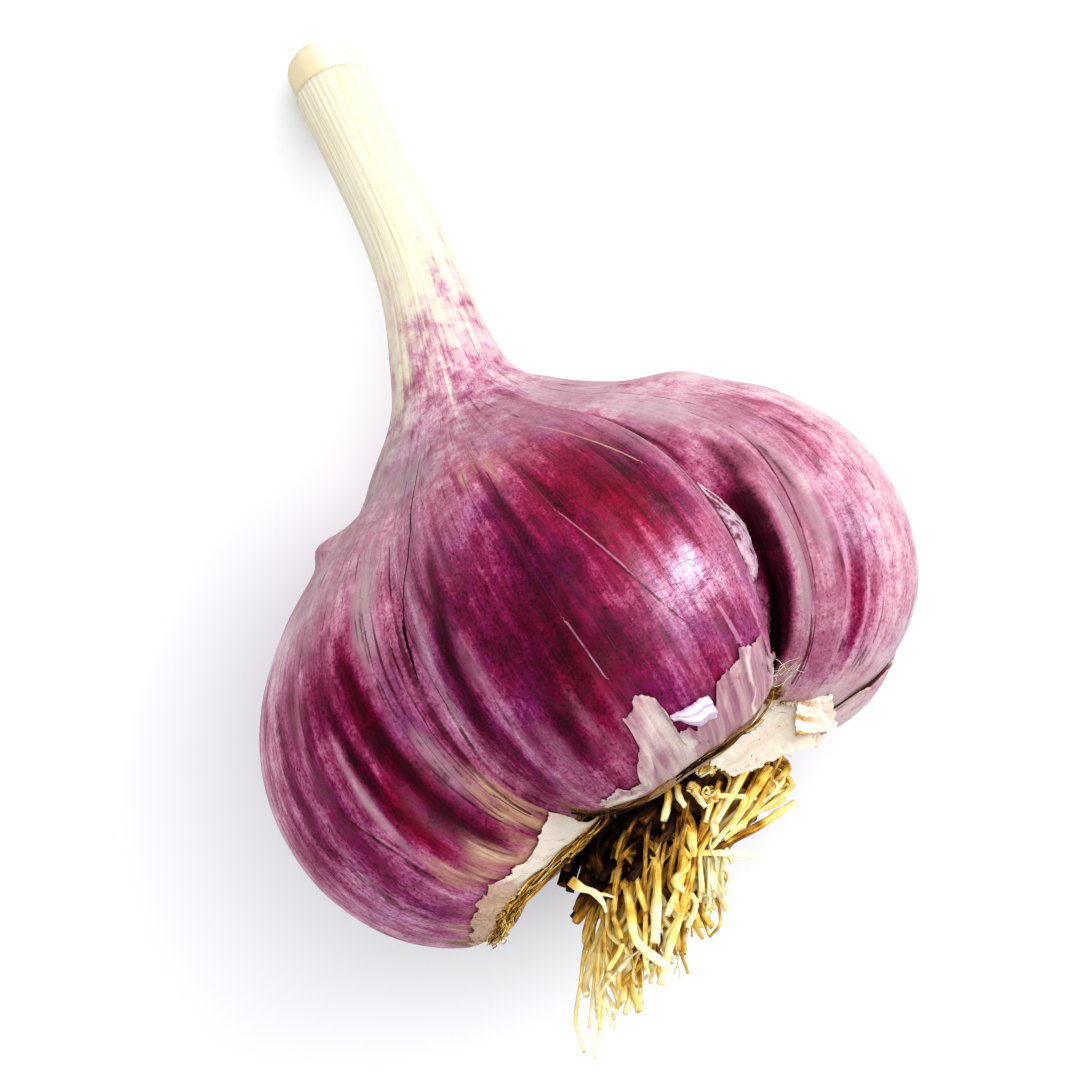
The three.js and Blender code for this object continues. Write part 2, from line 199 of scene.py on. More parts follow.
def turned(points):
    """Points of the upright bulb, laid on its side."""
    return np.asarray(points) @ TURN.T


def find_shift():
    """Where the CAD model put the laid-down bulb, from the box of its body."""
    grid = np.meshgrid(np.arange(0, 360, 1.0), np.linspace(0, LAST_KNOT, 400), indexing="ij")
    points = turned(surface(*grid)).reshape(-1, 3)
    low, high = points.min(0), points.max(0)
    cad_low, cad_high = (np.array(corner) * 1000 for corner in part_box("bulb_body"))
    shift = (cad_low + cad_high - low - high) / 2
    shift[2] = cad_high[2] - high[2]
    return shift


SHIFT = find_shift()


def lay(points):
    """Points of the upright bulb in the CAD model's frame, in metres."""
    return (turned(points) + SHIFT) / 1000


def lay_clear(points):
    """Laid-down points in metres, one a row, with nothing below the ground."""
    laid = lay(points).reshape(-1, 3)
    laid[:, 2] = np.maximum(laid[:, 2], GROUND_GAP)
    return laid


# --- Noise and painting helpers -----------------------------------------------------------------------------

RING = 26.0  # mm, radius of the ring on which stripes are measured
KNOT_LENGTH = 6.6  # mm of skin from one knot to the next
# Large primes that scatter the lattice's values: for x, y, z, the seed and the last stir.
HASH_PRIMES = (73856093, 19349663, 83492791, 2654435761, 1274126177)


def lattice(points, seed):
    """Smooth random values from -1 to 1 on a unit lattice."""
    cell = np.floor(points).astype(np.int64)
    f = points - cell
    f = f * f * (3 - 2 * f)
    for_x, for_y, for_z, for_seed, last = HASH_PRIMES
    total = np.zeros(points.shape[:-1])
    for corner in range(8):
        step = np.array([corner & 1, corner >> 1 & 1, corner >> 2 & 1])
        key = cell + step
        value = key[..., 0] * for_x ^ key[..., 1] * for_y ^ key[..., 2] * for_z ^ (seed * for_seed)
        value = (value ^ value >> 13) * last & 0x7FFFFFFF
        weight = np.prod(np.where(step == 1, f, 1 - f), -1)
        total += weight * (value % 65521 / 32760 - 1)
    return total


def noise(points, seed, octaves=2):
    """Several lattices, each twice as fine as the one before and half as strong."""
    total = sum(lattice(points * 2**k + 17.3 * k, seed + 101 * k) / 2**k for k in range(octaves))
    return total / (2 - 0.5 ** (octaves - 1))


def flat_noise(x, y, seed, octaves=2):
    """Noise over a plane."""
    return noise(np.stack([x, y, x * 0], -1), seed, octaves)


def fibre_space(angle, q):
    """Places of the skin on a ring of even width, in mm, with its fibres along the third direction."""
    a = np.radians(angle)
    return np.stack([RING * np.sin(a), -RING * np.cos(a), q * KNOT_LENGTH], -1)


def stripes(angle, q, width, length, seed, octaves=2):
    """Random streaks of a width across and a length along the skin, in mm."""
    return noise(fibre_space(angle, q) / np.array([width, width, length], float), seed, octaves)


# --- Mesh and material helpers ------------------------------------------------------------------------------

def make_object(name, points, faces, material, smooth_shading=True):
    """A mesh object in the scene, from points in metres."""
    mesh = bpy.data.meshes.new(name)
    mesh.from_pydata(np.asarray(points).tolist(), [], [tuple(face) for face in faces])
    mesh.materials.append(material)
    mesh.polygons.foreach_set("use_smooth", [smooth_shading] * len(mesh.polygons))
    mesh.update()
    piece = bpy.data.objects.new(name, mesh)
    bpy.context.scene.collection.objects.link(piece)
    return piece


def add_attribute(piece, name, values, kind="FLOAT"):
    """Values at a piece's points, for its material."""
    values = np.asarray(values, np.float32)
    attribute = piece.data.attributes.new(name, kind, "POINT")
    attribute.data.foreach_set("vector" if kind == "FLOAT_VECTOR" else "value", values.ravel())


def quads(a, b, c, d):
    """Four-cornered faces between four grids of corners."""
    return np.stack([a, b, c, d], -1).reshape(-1, 4).tolist()


def tube_faces(columns, rows, downwards=False):
    """Faces of a closed skin over a grid of columns and rows, with one flat face over each end."""
    here = np.arange(columns * rows).reshape(columns, rows)
    there = np.roll(here, -1, 0)
    if downwards:
        sides = quads(here[:, :-1], here[:, 1:], there[:, 1:], there[:, :-1])
        return sides + [here[:, 0].tolist(), here[::-1, -1].tolist()]
    sides = quads(here[:, :-1], there[:, :-1], there[:, 1:], here[:, 1:])
    return sides + [here[::-1, 0].tolist(), here[:, -1].tolist()]


def unit_square(across, along):
    """Two grids of numbers from 0 to 1, one for each direction."""
    return np.meshgrid(np.linspace(0, 1, across), np.linspace(0, 1, along), indexing="ij")


class Look:
    """Short ways to write a material's nodes."""

    def __init__(self, name):
        self.material = bpy.data.materials.new(name)
        self.material.use_nodes = True
        self.tree = self.material.node_tree
        self.tree.nodes.clear()

    def put(self, value, socket):
        """Links a socket to another node's socket, or gives it a value or colour of its own."""
        if isinstance(value, bpy.types.NodeSocket):
            self.tree.links.new(value, socket)
        else:
            socket.default_value = (*value, 1) if socket.type == "RGBA" else value

    def node(self, kind, inputs=None, **settings):
        node = self.tree.nodes.new(kind)
        for key, value in settings.items():
            setattr(node, key, value)
        for key, value in (inputs or {}).items():
            self.put(value, node.inputs[key])
        return node

    def attribute(self, name, output="Fac"):
        return self.node("ShaderNodeAttribute", attribute_name=name).outputs[output]

    def place(self):
        return self.node("ShaderNodeTexCoord").outputs["Object"]

    def math(self, operation, a, b=0.0, c=0.0, clamp=False):
        inputs = {0: a, 1: b, 2: c}
        return self.node("ShaderNodeMath", inputs, operation=operation, use_clamp=clamp).outputs[0]

    def times(self, a, b):
        return self.math("MULTIPLY", a, b)

    def vary(self, base, value, amount, clamp=False):
        """A base value, moved by an amount of a noise's distance from its middle."""
        return self.math("MULTIPLY_ADD", self.math("SUBTRACT", value, 0.5), amount, base, clamp)

    def noise(self, vector, scale, detail=2.0, roughness=0.5):
        """Noise with so many waves a metre, or a millimetre in a fibre space."""
        inputs = {"Vector": vector, "Scale": scale, "Detail": detail, "Roughness": roughness}
        return self.node("ShaderNodeTexNoise", inputs).outputs["Fac"]

    def fibres(self, strand, stretch, scale, detail, roughness=0.6):
        """Noise in a fibre space that is stretched along its third direction."""
        return self.noise(self.scaled(strand, (1, 1, stretch)), scale, detail, roughness)

    def scaled(self, vector, scale):
        return self.node("ShaderNodeMapping", {"Vector": vector, "Scale": scale}).outputs[0]

    def between(self, value, low, high, to_low=0.0, to_high=1.0):
        inputs = {"Value": value, "From Min": low, "From Max": high, "To Min": to_low, "To Max": to_high}
        return self.node("ShaderNodeMapRange", inputs).outputs[0]

    def middle(self, value, near, far):
        """1 where a noise crosses its middle value, and 0 where it is further than far from it."""
        return self.between(self.math("ABSOLUTE", self.math("SUBTRACT", value, 0.5)), near, far, 1, 0)

    def ramp(self, value, *stops):
        node = self.node("ShaderNodeValToRGB", {0: value})
        elements = node.color_ramp.elements
        while len(elements) < len(stops):
            elements.new(0.5)
        for element, (position, colour) in zip(elements, stops):
            element.position = position
            element.color = (*colour, 1)
        return node.outputs[0]

    def mix(self, factor, a, b):
        """Colour a, or colour b where the factor is 1."""
        inputs = {0: factor, 6: a, 7: b}
        return self.node("ShaderNodeMix", inputs, data_type="RGBA", clamp_factor=True).outputs[2]

    def bump(self, height, strength, distance, before=None):
        inputs = {"Height": height, "Strength": strength, "Distance": distance}
        if before is not None:
            inputs["Normal"] = before
        return self.node("ShaderNodeBump", inputs).outputs[0]

    def finish(self, **inputs):
        """The material, with these inputs for its shader."""
        inputs = {key.replace("_", " "): value for key, value in inputs.items()}
        shader = self.node("ShaderNodeBsdfPrincipled", inputs)
        self.node("ShaderNodeOutputMaterial", {0: shader.outputs[0]})
        return self.material


# --- The bulb's skin ----------------------------------------------------------------------------------------

SKIN_COLUMNS = 400
SKIN_ROWS = 248
CRACK = -29  # degrees, about where the crack runs
CRACK_WIDTH = 0.35  # degrees
CRACK_DEPTH = 0.05  # mm
DEEP_FURROW = 40  # degrees, where the front clove and the right one part

# Colours of purple, crimson and violet skin, from no pigment to the darkest wine red.
PIGMENT_STEPS = (0, 0.18, 0.36, 0.56, 0.76, 1)
PURPLE = ((0.62, 0.48, 0.5), (0.53, 0.315, 0.385), (0.38, 0.128, 0.215), (0.21, 0.014, 0.075),
          (0.1, 0.001, 0.028), (0.036, 0.0004, 0.009))
CRIMSON = ((0.64, 0.5, 0.49), (0.56, 0.32, 0.365), (0.45, 0.112, 0.18), (0.29, 0.007, 0.054),
           (0.15, 0.0005, 0.02), (0.05, 0.0003, 0.008))
VIOLET = ((0.58, 0.48, 0.54), (0.45, 0.29, 0.42), (0.32, 0.12, 0.26), (0.18, 0.012, 0.115),
          (0.085, 0.002, 0.042), (0.03, 0.0005, 0.012))
VEIL = (0.33, 0.19, 0.235)
ASH = (0.36, 0.3, 0.295)
TANS = ((0.3, (0.3, 0.17, 0.11)), (0.5, (0.46, 0.32, 0.19)), (0.7, (0.62, 0.48, 0.35)))
BROWNS = ((0.38, (0.05, 0.018, 0.006)), (0.52, (0.22, 0.095, 0.025)), (0.66, (0.48, 0.29, 0.12)))
CREAMS = ((0.3, (0.59, 0.525, 0.335)), (0.5, (0.65, 0.61, 0.485)), (0.72, (0.71, 0.69, 0.635)))
VEIN = (0.06, 0.006, 0.018)
# near black of the painted shadow in the deep furrow and of the line where the outer skin ends
SHADOW_AND_RIM_LINE = (0.01, 0.002, 0.004)
CHANNELS = ("pigment", "red", "veil", "ash", "tan", "cream", "brown", "gloss", "fleck", "violet")

# Soft brush strokes on the skin, by channel: angle, knot, half width in degrees, half length in knots,
# strength and, where a stroke slants, by how many degrees a knot.
STROKES = [
    # the front clove: a wine-dark heart, crimson above it, mauve and violet clouds, a magenta right side
    ("pigment", [
        (-3, 5.8, 8, 1.25, 0.38), (6, 6.2, 9, 1.3, 0.12), (-12, 6.3, 3, 0.8, 0.12),
        (-22, 5.8, 2, 1.5, 0.26, 2.2), (-17.5, 7.2, 1.5, 0.8, 0.2, 2.2), (-10, 4.8, 2, 0.6, 0.18),
        (4, 5.1, 4, 0.7, 0.14), (2, 7.1, 3.5, 0.7, 0.14), (12, 7.3, 13, 1.2, 0.1), (16, 8, 9, 0.7, 0.12),
        (28, 7.2, 4, 0.8, 0.12), (24, 9.5, 16, 0.8, 0.07), (47.6, 5.3, 0.45, 1.5, 0.35),
        # the lightening strokes at (18, 5.6), (19.5, 5.7), (14, 4.9) and (12, 6.1) are a painted highlight
        # round the glossy spot
        (49.6, 6, 0.4, 1.2, 0.28), (51.5, 5.6, 0.5, 1.2, -0.2), (18, 5.6, 8, 0.5, -0.32),
        (14, 4.9, 8, 0.4, -0.1), (19.5, 5.7, 4, 0.3, -0.2), (35, 7.8, 2, 0.8, -0.25),
        (14, 4.8, 9, 0.35, 0.02), (33, 6.5, 5, 2, -0.2), (-25.5, 6.4, 1.6, 1.4, -0.18, 2.2),
        (-12, 7.5, 4, 0.9, 0.12), (-17, 5.4, 1.8, 1.2, -0.12, 1.5), (-16, 3.9, 9, 0.5, -0.06),
        (-16, 8.2, 7, 0.8, -0.08), (1, 8.3, 1, 1.1, 0.26), (-5, 8.9, 0.8, 0.9, 0.2),
        (-13, 8.7, 0.9, 1, 0.2), (8, 8.4, 1.2, 1.1, 0.18, -1), (30, 8, 5, 0.5, 0.12),
        (12, 6.1, 5, 0.5, -0.1), (20, 7.2, 4, 0.7, 0.1)]),
    ("ash", [(47.6, 5.4, 0.5, 1.5, -0.45), (51.5, 5.6, 0.5, 1.2, 0.25), (35, 7.8, 2, 0.8, 0.6)]),
    ("violet", [
        # the violet at (19.5, 5.7), (18, 5.5) and (14, 4.7) is part of the painted highlight round the glossy
        # spot
        (19.5, 5.7, 4, 0.3, 0.3), (2, 6.9, 6, 0.5, 0.8), (-17, 4.9, 9, 1.1, 0.45), (18, 5.5, 8, 0.5, 0.6),
        (14, 4.7, 9, 0.4, 0.1), (-25.5, 6.4, 3, 1.4, 0.35, 2.2)]),
    ("red", [
        (16, 7.1, 8, 1.1, 1), (6, 7.2, 5, 0.8, 0.5), (15, 4.8, 8, 0.5, 0.3), (-3, 5.3, 8, 1.1, 0.55),
        (26, 6, 5, 0.8, 0.4), (8, 8.9, 14, 0.9, 0.5)]),
    ("veil", [
        (-25.5, 6.6, 2.2, 1.6, 0.4, 2.2), (-6, 4.85, 1.3, 0.5, 0.5), (-13, 4.7, 2, 0.6, 0.45),
        (33, 7, 4.5, 1.6, 0.4), (-16, 8.4, 8, 1, 0.35), (20, 9.3, 18, 0.7, 0.4), (16, 6.9, 12, 1, -0.35),
        (-3, 5.8, 10, 1.4, -0.3), (30, 8.2, 6, 0.6, 0.45), (-4, 4.3, 4, 0.35, 0.3)]),
    ("tan", [(3, 9.15, 5, 0.35, 0.3), (-2.5, 8.9, 1.4, 0.25, 0.25)]),
    ("gloss", [(18.5, 5.6, 9, 0.75, 1.5), (10, 6.6, 16, 1.4, 0.2)]),
    # the left clove: a wine-dark band beside the lilac furrow, then beige, magenta and purple bands
    ("pigment", [
        (-38.4, 5.9, 2.1, 1.7, 0.48, -1.2), (-33, 6.3, 1, 0.8, 0.16), (-33.5, 7.8, 3, 1.3, -0.16),
        (-43.4, 6.3, 1.2, 1.1, 0.34, -0.6), (-41.5, 4.9, 1.9, 0.6, 0.2), (-45.4, 5.6, 1, 1.1, -0.18),
        (-45.5, 7.3, 1.6, 0.7, 0.18), (-50.5, 5.9, 1.6, 1.6, 0.24, 1), (-53, 7.2, 1.5, 0.9, 0.16),
        (-60, 7, 5, 1.6, -0.12), (-57, 6, 1.5, 1.2, 0.14), (-61, 5.8, 1.2, 1.2, 0.14),
        # (-72, 6) pales the far left edge: partly its own pink, partly painted light at the rim
        (-59, 4.3, 7, 0.7, -0.22), (-66, 5, 3, 0.6, 0.12), (-60, 8.4, 6, 0.8, -0.3), (-72, 6, 8, 3, -0.22),
        (-48, 3.9, 3, 0.4, -0.16), (-44, 5.6, 2, 0.9, 0.12), (-38, 4.3, 2, 0.4, 0.2)]),
    ("red", [(-42, 4.9, 2, 0.7, 0.9), (-38, 5.8, 2, 1.6, 0.5, -1.2)]),
    ("violet", [(-52, 5.2, 9, 1.4, 0.35), (-33.5, 6.3, 2.5, 0.8, 0.7), (-57, 4.3, 9, 0.6, 0.15)]),
    ("veil", [
        (-60, 4.8, 9, 1.4, -0.3), (-34, 7.4, 3, 1.6, 0.45), (-52, 8.6, 10, 0.9, 0.4),
        (-45.4, 6, 1, 1, 0.35), (-62, 4.6, 9, 0.9, -0.25)]),
    ("ash", [
        (-34.5, 8, 2.4, 0.9, 0.6), (-33, 5, 1.8, 0.7, 0.6), (-45.5, 5.4, 0.9, 0.9, 0.45),
        (-31, 8.6, 5, 0.5, 0.35), (-62, 4.6, 9, 1, -0.3)]),
    ("tan", [
        (-45.3, 4.2, 1.5, 0.5, 0.6), (-39, 3.55, 5, 0.45, 0.6), (-31.4, 4, 2, 0.8, 0.75),
        (-58, 3.3, 7, 0.25, 0.6)]),
    # the right clove: wine-black in the furrow, partly pigment and partly painted shade, a grey band, then
    # pink with magenta streaks
    ("pigment", [
        (43.3, 4.9, 1.8, 2, 0.72, 0.4), (41.6, 5.6, 1.6, 1, 0.4), (45.4, 6.9, 2, 0.5, 0.35),
        (47.3, 7.1, 1, 0.4, 0.25), (49.6, 6.6, 0.8, 0.7, 0.22, 0.8), (43, 7.9, 3, 0.5, 0.15),
        (39.3, 8.1, 0.6, 1, 0.4), (54.8, 4.1, 1.5, 0.9, 0.4, 0.3), (57.6, 3.8, 0.9, 0.6, 0.26, 0.6),
        (52.3, 4.4, 0.7, 0.6, 0.2, 0.6), (58.2, 6.8, 0.6, 0.5, 0.3), (61, 8, 1.8, 0.45, 0.14, -2),
        # (76, 5.5) pales the far side: partly the skin's own tone, partly painted light from the window
        (60, 5.5, 7, 1.4, -0.1), (76, 5.5, 12, 3.5, -0.2), (47, 5, 1.5, 1.4, -0.04), (50, 3, 6, 0.5, 0.14),
        (48.5, 5.6, 2.5, 1.8, 0.13), (62, 6, 10, 2, 0.06)]),
    ("veil", [
        (43, 8.2, 4, 0.5, 0.4), (58, 6.5, 8, 1.8, 0.15), (46.9, 4.9, 1.3, 1.6, 0.5, 0.2),
        (51, 5.8, 4, 1.8, 0.25), (51, 7.9, 9, 1, 0.4), (54.8, 4.1, 1.8, 0.9, -0.3)]),
    ("ash", [(46.9, 4.9, 1, 1.2, 0.55, 0.2), (47, 8.6, 5, 0.6, 0.45), (50.5, 6, 2, 1.5, 0.3)]),
    ("violet", [(56, 5.4, 4, 0.6, 0.6)]),
    ("red", [(62, 6, 16, 3.5, 0.35)]),
    ("gloss", [(57, 5.5, 3, 0.6, 0.45)]),
    # the neck: dull mauve, then pink and magenta flecks that give way to the cream stem
    ("ash", [(-20, 10.1, 10, 0.5, 0.75), (-48, 9.6, 18, 1.2, 0.55), (-52, 11.2, 20, 0.9, 0.75)]),
    ("red", [(0, 9.8, 200, 0.9, 0.5)]),
    ("veil", [(0, 10.4, 200, 0.8, 0.45)]),
    ("pigment", [
        (-12, 10.5, 3, 0.2, 0.3), (12, 9.1, 16, 0.6, 0.12), (24, 11.1, 22, 0.7, 0.12),
        (-5, 12.7, 3, 0.35, 0.4), (-4, 11.1, 4, 0.4, 0.2), (8, 12.2, 3, 0.4, 0.25),
        (44, 12.8, 24, 0.9, 0.16), (60, 13.6, 14, 0.8, 0.3), (-12, 12.2, 3, 0.5, 0.35),
        (-5, 12, 3, 0.4, 0.1)]),
    ("cream", [(3.5, 12.2, 2.5, 0.5, 0.75), (-52, 12.2, 20, 0.8, 0.4)]),
    ("tan", [(-50, 13.4, 30, 2.2, 0.3)]),
]
CRISP_WIDTH = 2.5  # degrees; narrower strokes have firmer edges

# Where the outer skin ends round the root plate: angle, knot.
# the high knots under the left clove (-130 to -95) make the brown below the rim partly painted shade
RIM = [(-180, 1.6), (-130, 2.1), (-95, 2.7), (-62, 3.1), (-47, 3.05), (-38, 2.6), (-31, 2.3), (-28, 2.6),
       (-25, 2.95), (0, 3.05), (15, 3.2), (30, 3.5), (37, 3.5), (42, 2.5), (60, 1.9), (100, 1.7), (180, 1.6)]
RIM_DEPTH = 0.06  # knots, how wide its brown border is
RIM_STEP = 0.3  # mm
TUCK = 1.9  # mm that the bare underside of the left clove has shrunk back towards the root plate


def tucked(angle, q):
    """Points of the bulb's surface, with the shrunken underside of the left clove."""
    points = surface(angle, q)
    near = apart(angle, 0)
    sector = smooth(near, -125, -95) * smooth(-near, 28, 36)
    points[..., 2] += TUCK * sector * smooth(-q, -2.75, -2.1) * smooth(q, 0.5, 1.2)
    return points


def skin_rim(angle):
    """Knot at which the outer skin ends, torn off round the root plate."""
    near = apart(angle, 0)
    return np.interp(near, *zip(*RIM)) + 0.1 * lattice(np.stack([near / 4, near * 0, near * 0], -1), 97)


def skin_columns():
    """Angles of the skin's columns, closer together on top, at the crack and at the deep furrow."""
    fine = np.linspace(-180, 180, 3601)
    density = 1 + 1.3 * smooth(-np.abs(fine), -100, -80)
    density += 3 * np.exp(-(((fine - CRACK) / 4) ** 2)) + 2 * np.exp(-(((fine - DEEP_FURROW) / 4) ** 2))
    total = np.concatenate([[0], np.cumsum((density[1:] + density[:-1]) / 2)])
    return np.interp(np.arange(SKIN_COLUMNS) * total[-1] / SKIN_COLUMNS, total, fine)


def brush_strokes(angle, q, frayed):
    """What the strokes lay down in each channel."""
    wavy = angle + 1.3 * stripes(angle, q, 4, 8, 8, 3)
    layer = dict.fromkeys(CHANNELS, 0.0)
    for channel, strokes in STROKES:
        for at_angle, at_q, width, length, strength, *slant in strokes:
            mark = spot(wavy, frayed, (at_angle, at_q), (width, length), *slant)
            if width < CRISP_WIDTH:
                mark = smooth(mark, 0.1, 0.8)
            layer[channel] = layer[channel] + strength * mark
    return layer


def paint_skin(angle, q):
    """How much of each channel the skin has at each place, from 0 to 1."""
    frayed = q + 0.45 * stripes(angle, q, 0.7, 60, 3, 1) + 0.25 * stripes(angle, q, 3, 9, 4)
    layer = brush_strokes(angle, q, frayed)
    right_clove = smooth(angle, 36, 46) * smooth(-angle, -175, -120)
    front_left = smooth(-np.abs(apart(angle, 0) + 60), -102, -96)
    neck = smooth(q, 10.6, 11.8)
    below = skin_rim(angle) - frayed

    broad, middle = stripes(angle, q, 7, 50, 5), stripes(angle, q, 3.0, 40, 11)
    narrow = stripes(angle, q, 1.2, 24, 23, 3)
    pigment = layer["pigment"] + 0.53 - 0.26 * right_clove + 0.1 * broad + 0.11 * middle + 0.14 * narrow
    pigment -= 0.2 * smooth(q, 7.6, 9.2) + 0.1 * smooth(q, 9.5, 11.5) + 0.22 * smooth(q, 12.4, 13.8)
    pigment -= 0.28 * smooth(-q, -3.9, -1.6)
    layer["pigment"] = pigment * (1 - 0.55 * neck) + 0.07 * neck - 0.5 * smooth(below, 0.0, 0.4)

    veil = layer["veil"] + 0.04 + 0.16 * stripes(angle, q, 3.4, 45, 31) + 0.22 * smooth(q, 8.0, 9.6)
    layer["veil"] = (veil + 0.22 * right_clove) * (1 - 0.7 * neck)
    layer["ash"] = layer["ash"] + 0.25 * np.maximum(stripes(angle, q, 2.0, 30, 37), 0)
    tan = layer["tan"] + 0.95 * smooth(-q, -3.5, -1.8) * (0.25 + 0.75 * front_left)
    tan += 0.3 * stripes(angle, q, 2.0, 16, 47) * smooth(-q, -4.4, -3.0) * front_left
    layer["tan"] = tan + smooth(below, 0.2, 0.6)
    fading = frayed + 0.5 * stripes(angle, q, 2.4, 16, 59) + 0.5 * stripes(angle, q, 4, 4, 61)
    layer["cream"] = layer["cream"] + smooth(fading - 0.5 * smooth(angle, 0, 30), 11.9, 14.1)
    layer["fleck"] = 0.15 + 0.3 * right_clove + 0.9 * smooth(q, 7.8, 10.2)
    # brown below the rim: the skin's own old brown, and under the left clove partly painted shade
    rim = smooth(RIM_DEPTH + below, 0.0, 0.12)
    layer["brown"] = layer["brown"] + rim * (1 - 0.7 * smooth(below, 0.35, 0.9))
    return [np.clip(layer[channel], 0, 1) for channel in CHANNELS]


# Small lumps and hollows on the shoulders: angle, knot, half width, half length, mm outwards.
LUMPS = [(-64, 10.6, 16, 0.35, -0.8), (-60, 10, 8, 0.18, 0.7), (50, 9.9, 8, 0.45, -0.5),
         (70, 9.2, 9, 0.5, 0.9)]


def skin_relief(angle, q):
    """Height of the skin's ribs, lumps and wrinkles above the smooth form, in mm."""
    in_stem = smooth(q, 12, 13.4)
    relief = 0.06 * stripes(angle, q, 1.8, 60, 71) * (1 - in_stem)
    relief += 0.22 * stripes(angle, q, 9, 22, 73) * smooth(-q, -10, -8)
    relief += 0.09 * stripes(angle, q, 5.0, 120, 79, 3) * in_stem
    relief += 0.1 * stripes(angle, q, 2.2, 60, 83) * smooth(q, 8.5, 11)
    return add_bumps(relief, angle, q, LUMPS)


def skin_colour(look, noises, layers):
    """The skin's colour from its painted layers and its noises, and the pigment's amount."""
    fine, hair, grain, cloud, dots, blots, clouds, hues = noises
    pigment, red, veil, ash, tan, cream, brown, fleck, violet = layers
    streaks = look.vary(look.vary(0.0, fine, 0.52), hair, 0.12)
    specks = look.vary(look.vary(0.0, dots, 0.75), blots, 0.9)
    amount = look.math("MULTIPLY_ADD", streaks, look.between(fleck, 0, 1, 1, 0.3), pigment)
    amount = look.vary(look.math("MULTIPLY_ADD", specks, fleck, amount), grain, 0.4)
    amount = look.math("ADD", amount, look.between(grain, 0.54, 0.74, 0.0, 0.22))
    amount = look.vary(look.vary(amount, cloud, 0.4), clouds, 0.54)
    purple, crimson, violets = (look.ramp(amount, *zip(PIGMENT_STEPS, p)) for p in (PURPLE, CRIMSON, VIOLET))
    colour = look.mix(red, purple, crimson)
    bluish = look.math("ADD", violet, look.between(hues, 0.52, 0.68, 0, 0.55), clamp=True)
    colour = look.mix(bluish, colour, violets)

    veiled = look.vary(look.vary(veil, fine, 0.5), clouds, 0.6, clamp=True)
    veiled = look.times(veiled, look.between(amount, 0.62, 0.95, 1, 0.1))
    colour = look.mix(look.times(veiled, 0.8), colour, VEIL)
    ashy = look.vary(look.vary(ash, clouds, 1.0, clamp=True), grain, 1.3, clamp=True)
    ashy = look.times(ashy, look.between(amount, 0.62, 0.95, 1, 0.15))
    colour = look.mix(look.times(ashy, look.between(ash, 0, 0.2, 0, 0.75)), colour, ASH)
    tanned = look.vary(look.vary(tan, fine, 1.6), clouds, 1.2, clamp=True)
    colour = look.mix(look.times(tanned, look.between(tan, 0, 0.25)), colour, look.ramp(fine, *TANS))
    halfway = look.times(look.math("SUBTRACT", cream, look.times(cream, cream)), 9.0)
    fading = look.times(halfway, look.math("SUBTRACT", 0.5, blots))
    colour = look.mix(look.math("ADD", cream, fading, clamp=True), colour, look.ramp(fine, *CREAMS))
    return look.mix(brown, colour, look.ramp(grain, *BROWNS))


def skin_look():
    """The skin's material: painted layers, veins, thin lines and creases under a dry gloss."""
    look = Look("clove_skin")
    strand, place = look.attribute("strand", "Vector"), look.place()
    pigment, red, veil, ash, tan, cream, brown, gloss, fleck, violet = (look.attribute(c) for c in CHANNELS)
    dots, blots = look.noise(place, 1500.0, 4, 0.7), look.noise(place, 420.0, 4, 0.65)
    clouds, hues = look.noise(place, 260.0, 5, 0.65), look.noise(place, 120.0, 3, 0.6)
    fine, hair = look.fibres(strand, 0.06, 2.2, 3), look.fibres(strand, 0.05, 6.0, 2)
    grain, cloud = look.fibres(strand, 0.6, 5.0, 4, 0.7), look.fibres(strand, 0.4, 0.8, 4, 0.65)
    colour = skin_colour(look, (fine, hair, grain, cloud, dots, blots, clouds, hues),
                         (pigment, red, veil, ash, tan, cream, brown, fleck, violet))

    vein = look.middle(look.fibres(strand, 0.04, 0.55, 2, 0.4), 0.004, 0.016)
    vein = look.times(look.times(vein, look.between(cloud, 0.47, 0.58)), look.between(gloss, 0, 0.5, 1, 0.2))
    vein = look.times(vein, look.between(cream, 0, 0.5, 1, 0))
    colour = look.mix(look.times(vein, 0.55), colour, VEIN)
    # near black where the dark attribute is high: a painted shadow in the deep furrow, and the line where the
    # outer skin ends
    torn = look.vary(look.attribute("dark"), grain, 0.9)
    colour = look.mix(look.between(torn, 0.25, 0.75), colour, SHADOW_AND_RIM_LINE)
    for name, (tint, strength) in LINE_COLOURS.items():
        off = look.vary(look.attribute(name), dots, 1.6)
        line = look.between(look.math("ABSOLUTE", off), 0.6, 1.1, strength, 0)
        if name != "crack":
            line = look.times(line, look.between(clouds, 0.38, 0.54, 0.45, 1))
        colour = look.mix(line, colour, tint)

    crease = look.middle(look.noise(look.scaled(strand, (0.35, 0.35, 1.3)), 0.9, 3, 0.6), 0.0, 0.03)
    bump = look.bump(look.math("ADD", look.times(fine, 0.75), look.times(hair, 0.25)), 0.5, 0.00022)
    bump = look.bump(grain, 0.15, 0.00008, bump)
    bump = look.bump(vein, 0.5, -0.0001, bump)
    bump = look.bump(look.times(crease, gloss), 0.5, 0.00022, bump)
    rough = look.between(look.math("ADD", grain, veil), 0.3, 1.2, 0.42, 0.6)
    rough = look.math("MULTIPLY_ADD", gloss, -0.24, rough)
    shine = look.math("MULTIPLY_ADD", gloss, 0.9, 0.04, clamp=True)
    return look.finish(Base_Color=colour, Roughness=rough, Normal=bump, Specular_IOR_Level=0.1,
                       Coat_Weight=shine, Coat_Roughness=0.21, Coat_Normal=bump)


def skin_grid():
    """Angles and knots of the skin's points. Columns near the crack follow it, so that it can be narrow."""
    angle, q = np.meshgrid(skin_columns(), np.linspace(0, LAST_KNOT, SKIN_ROWS), indexing="ij")
    near = np.exp(-(((angle - CRACK) / 9) ** 2)) * smooth(q, 3.6, 5.4) * smooth(-q, -11.4, -10.2)
    return angle + near * (crack_angle(q) - CRACK), q


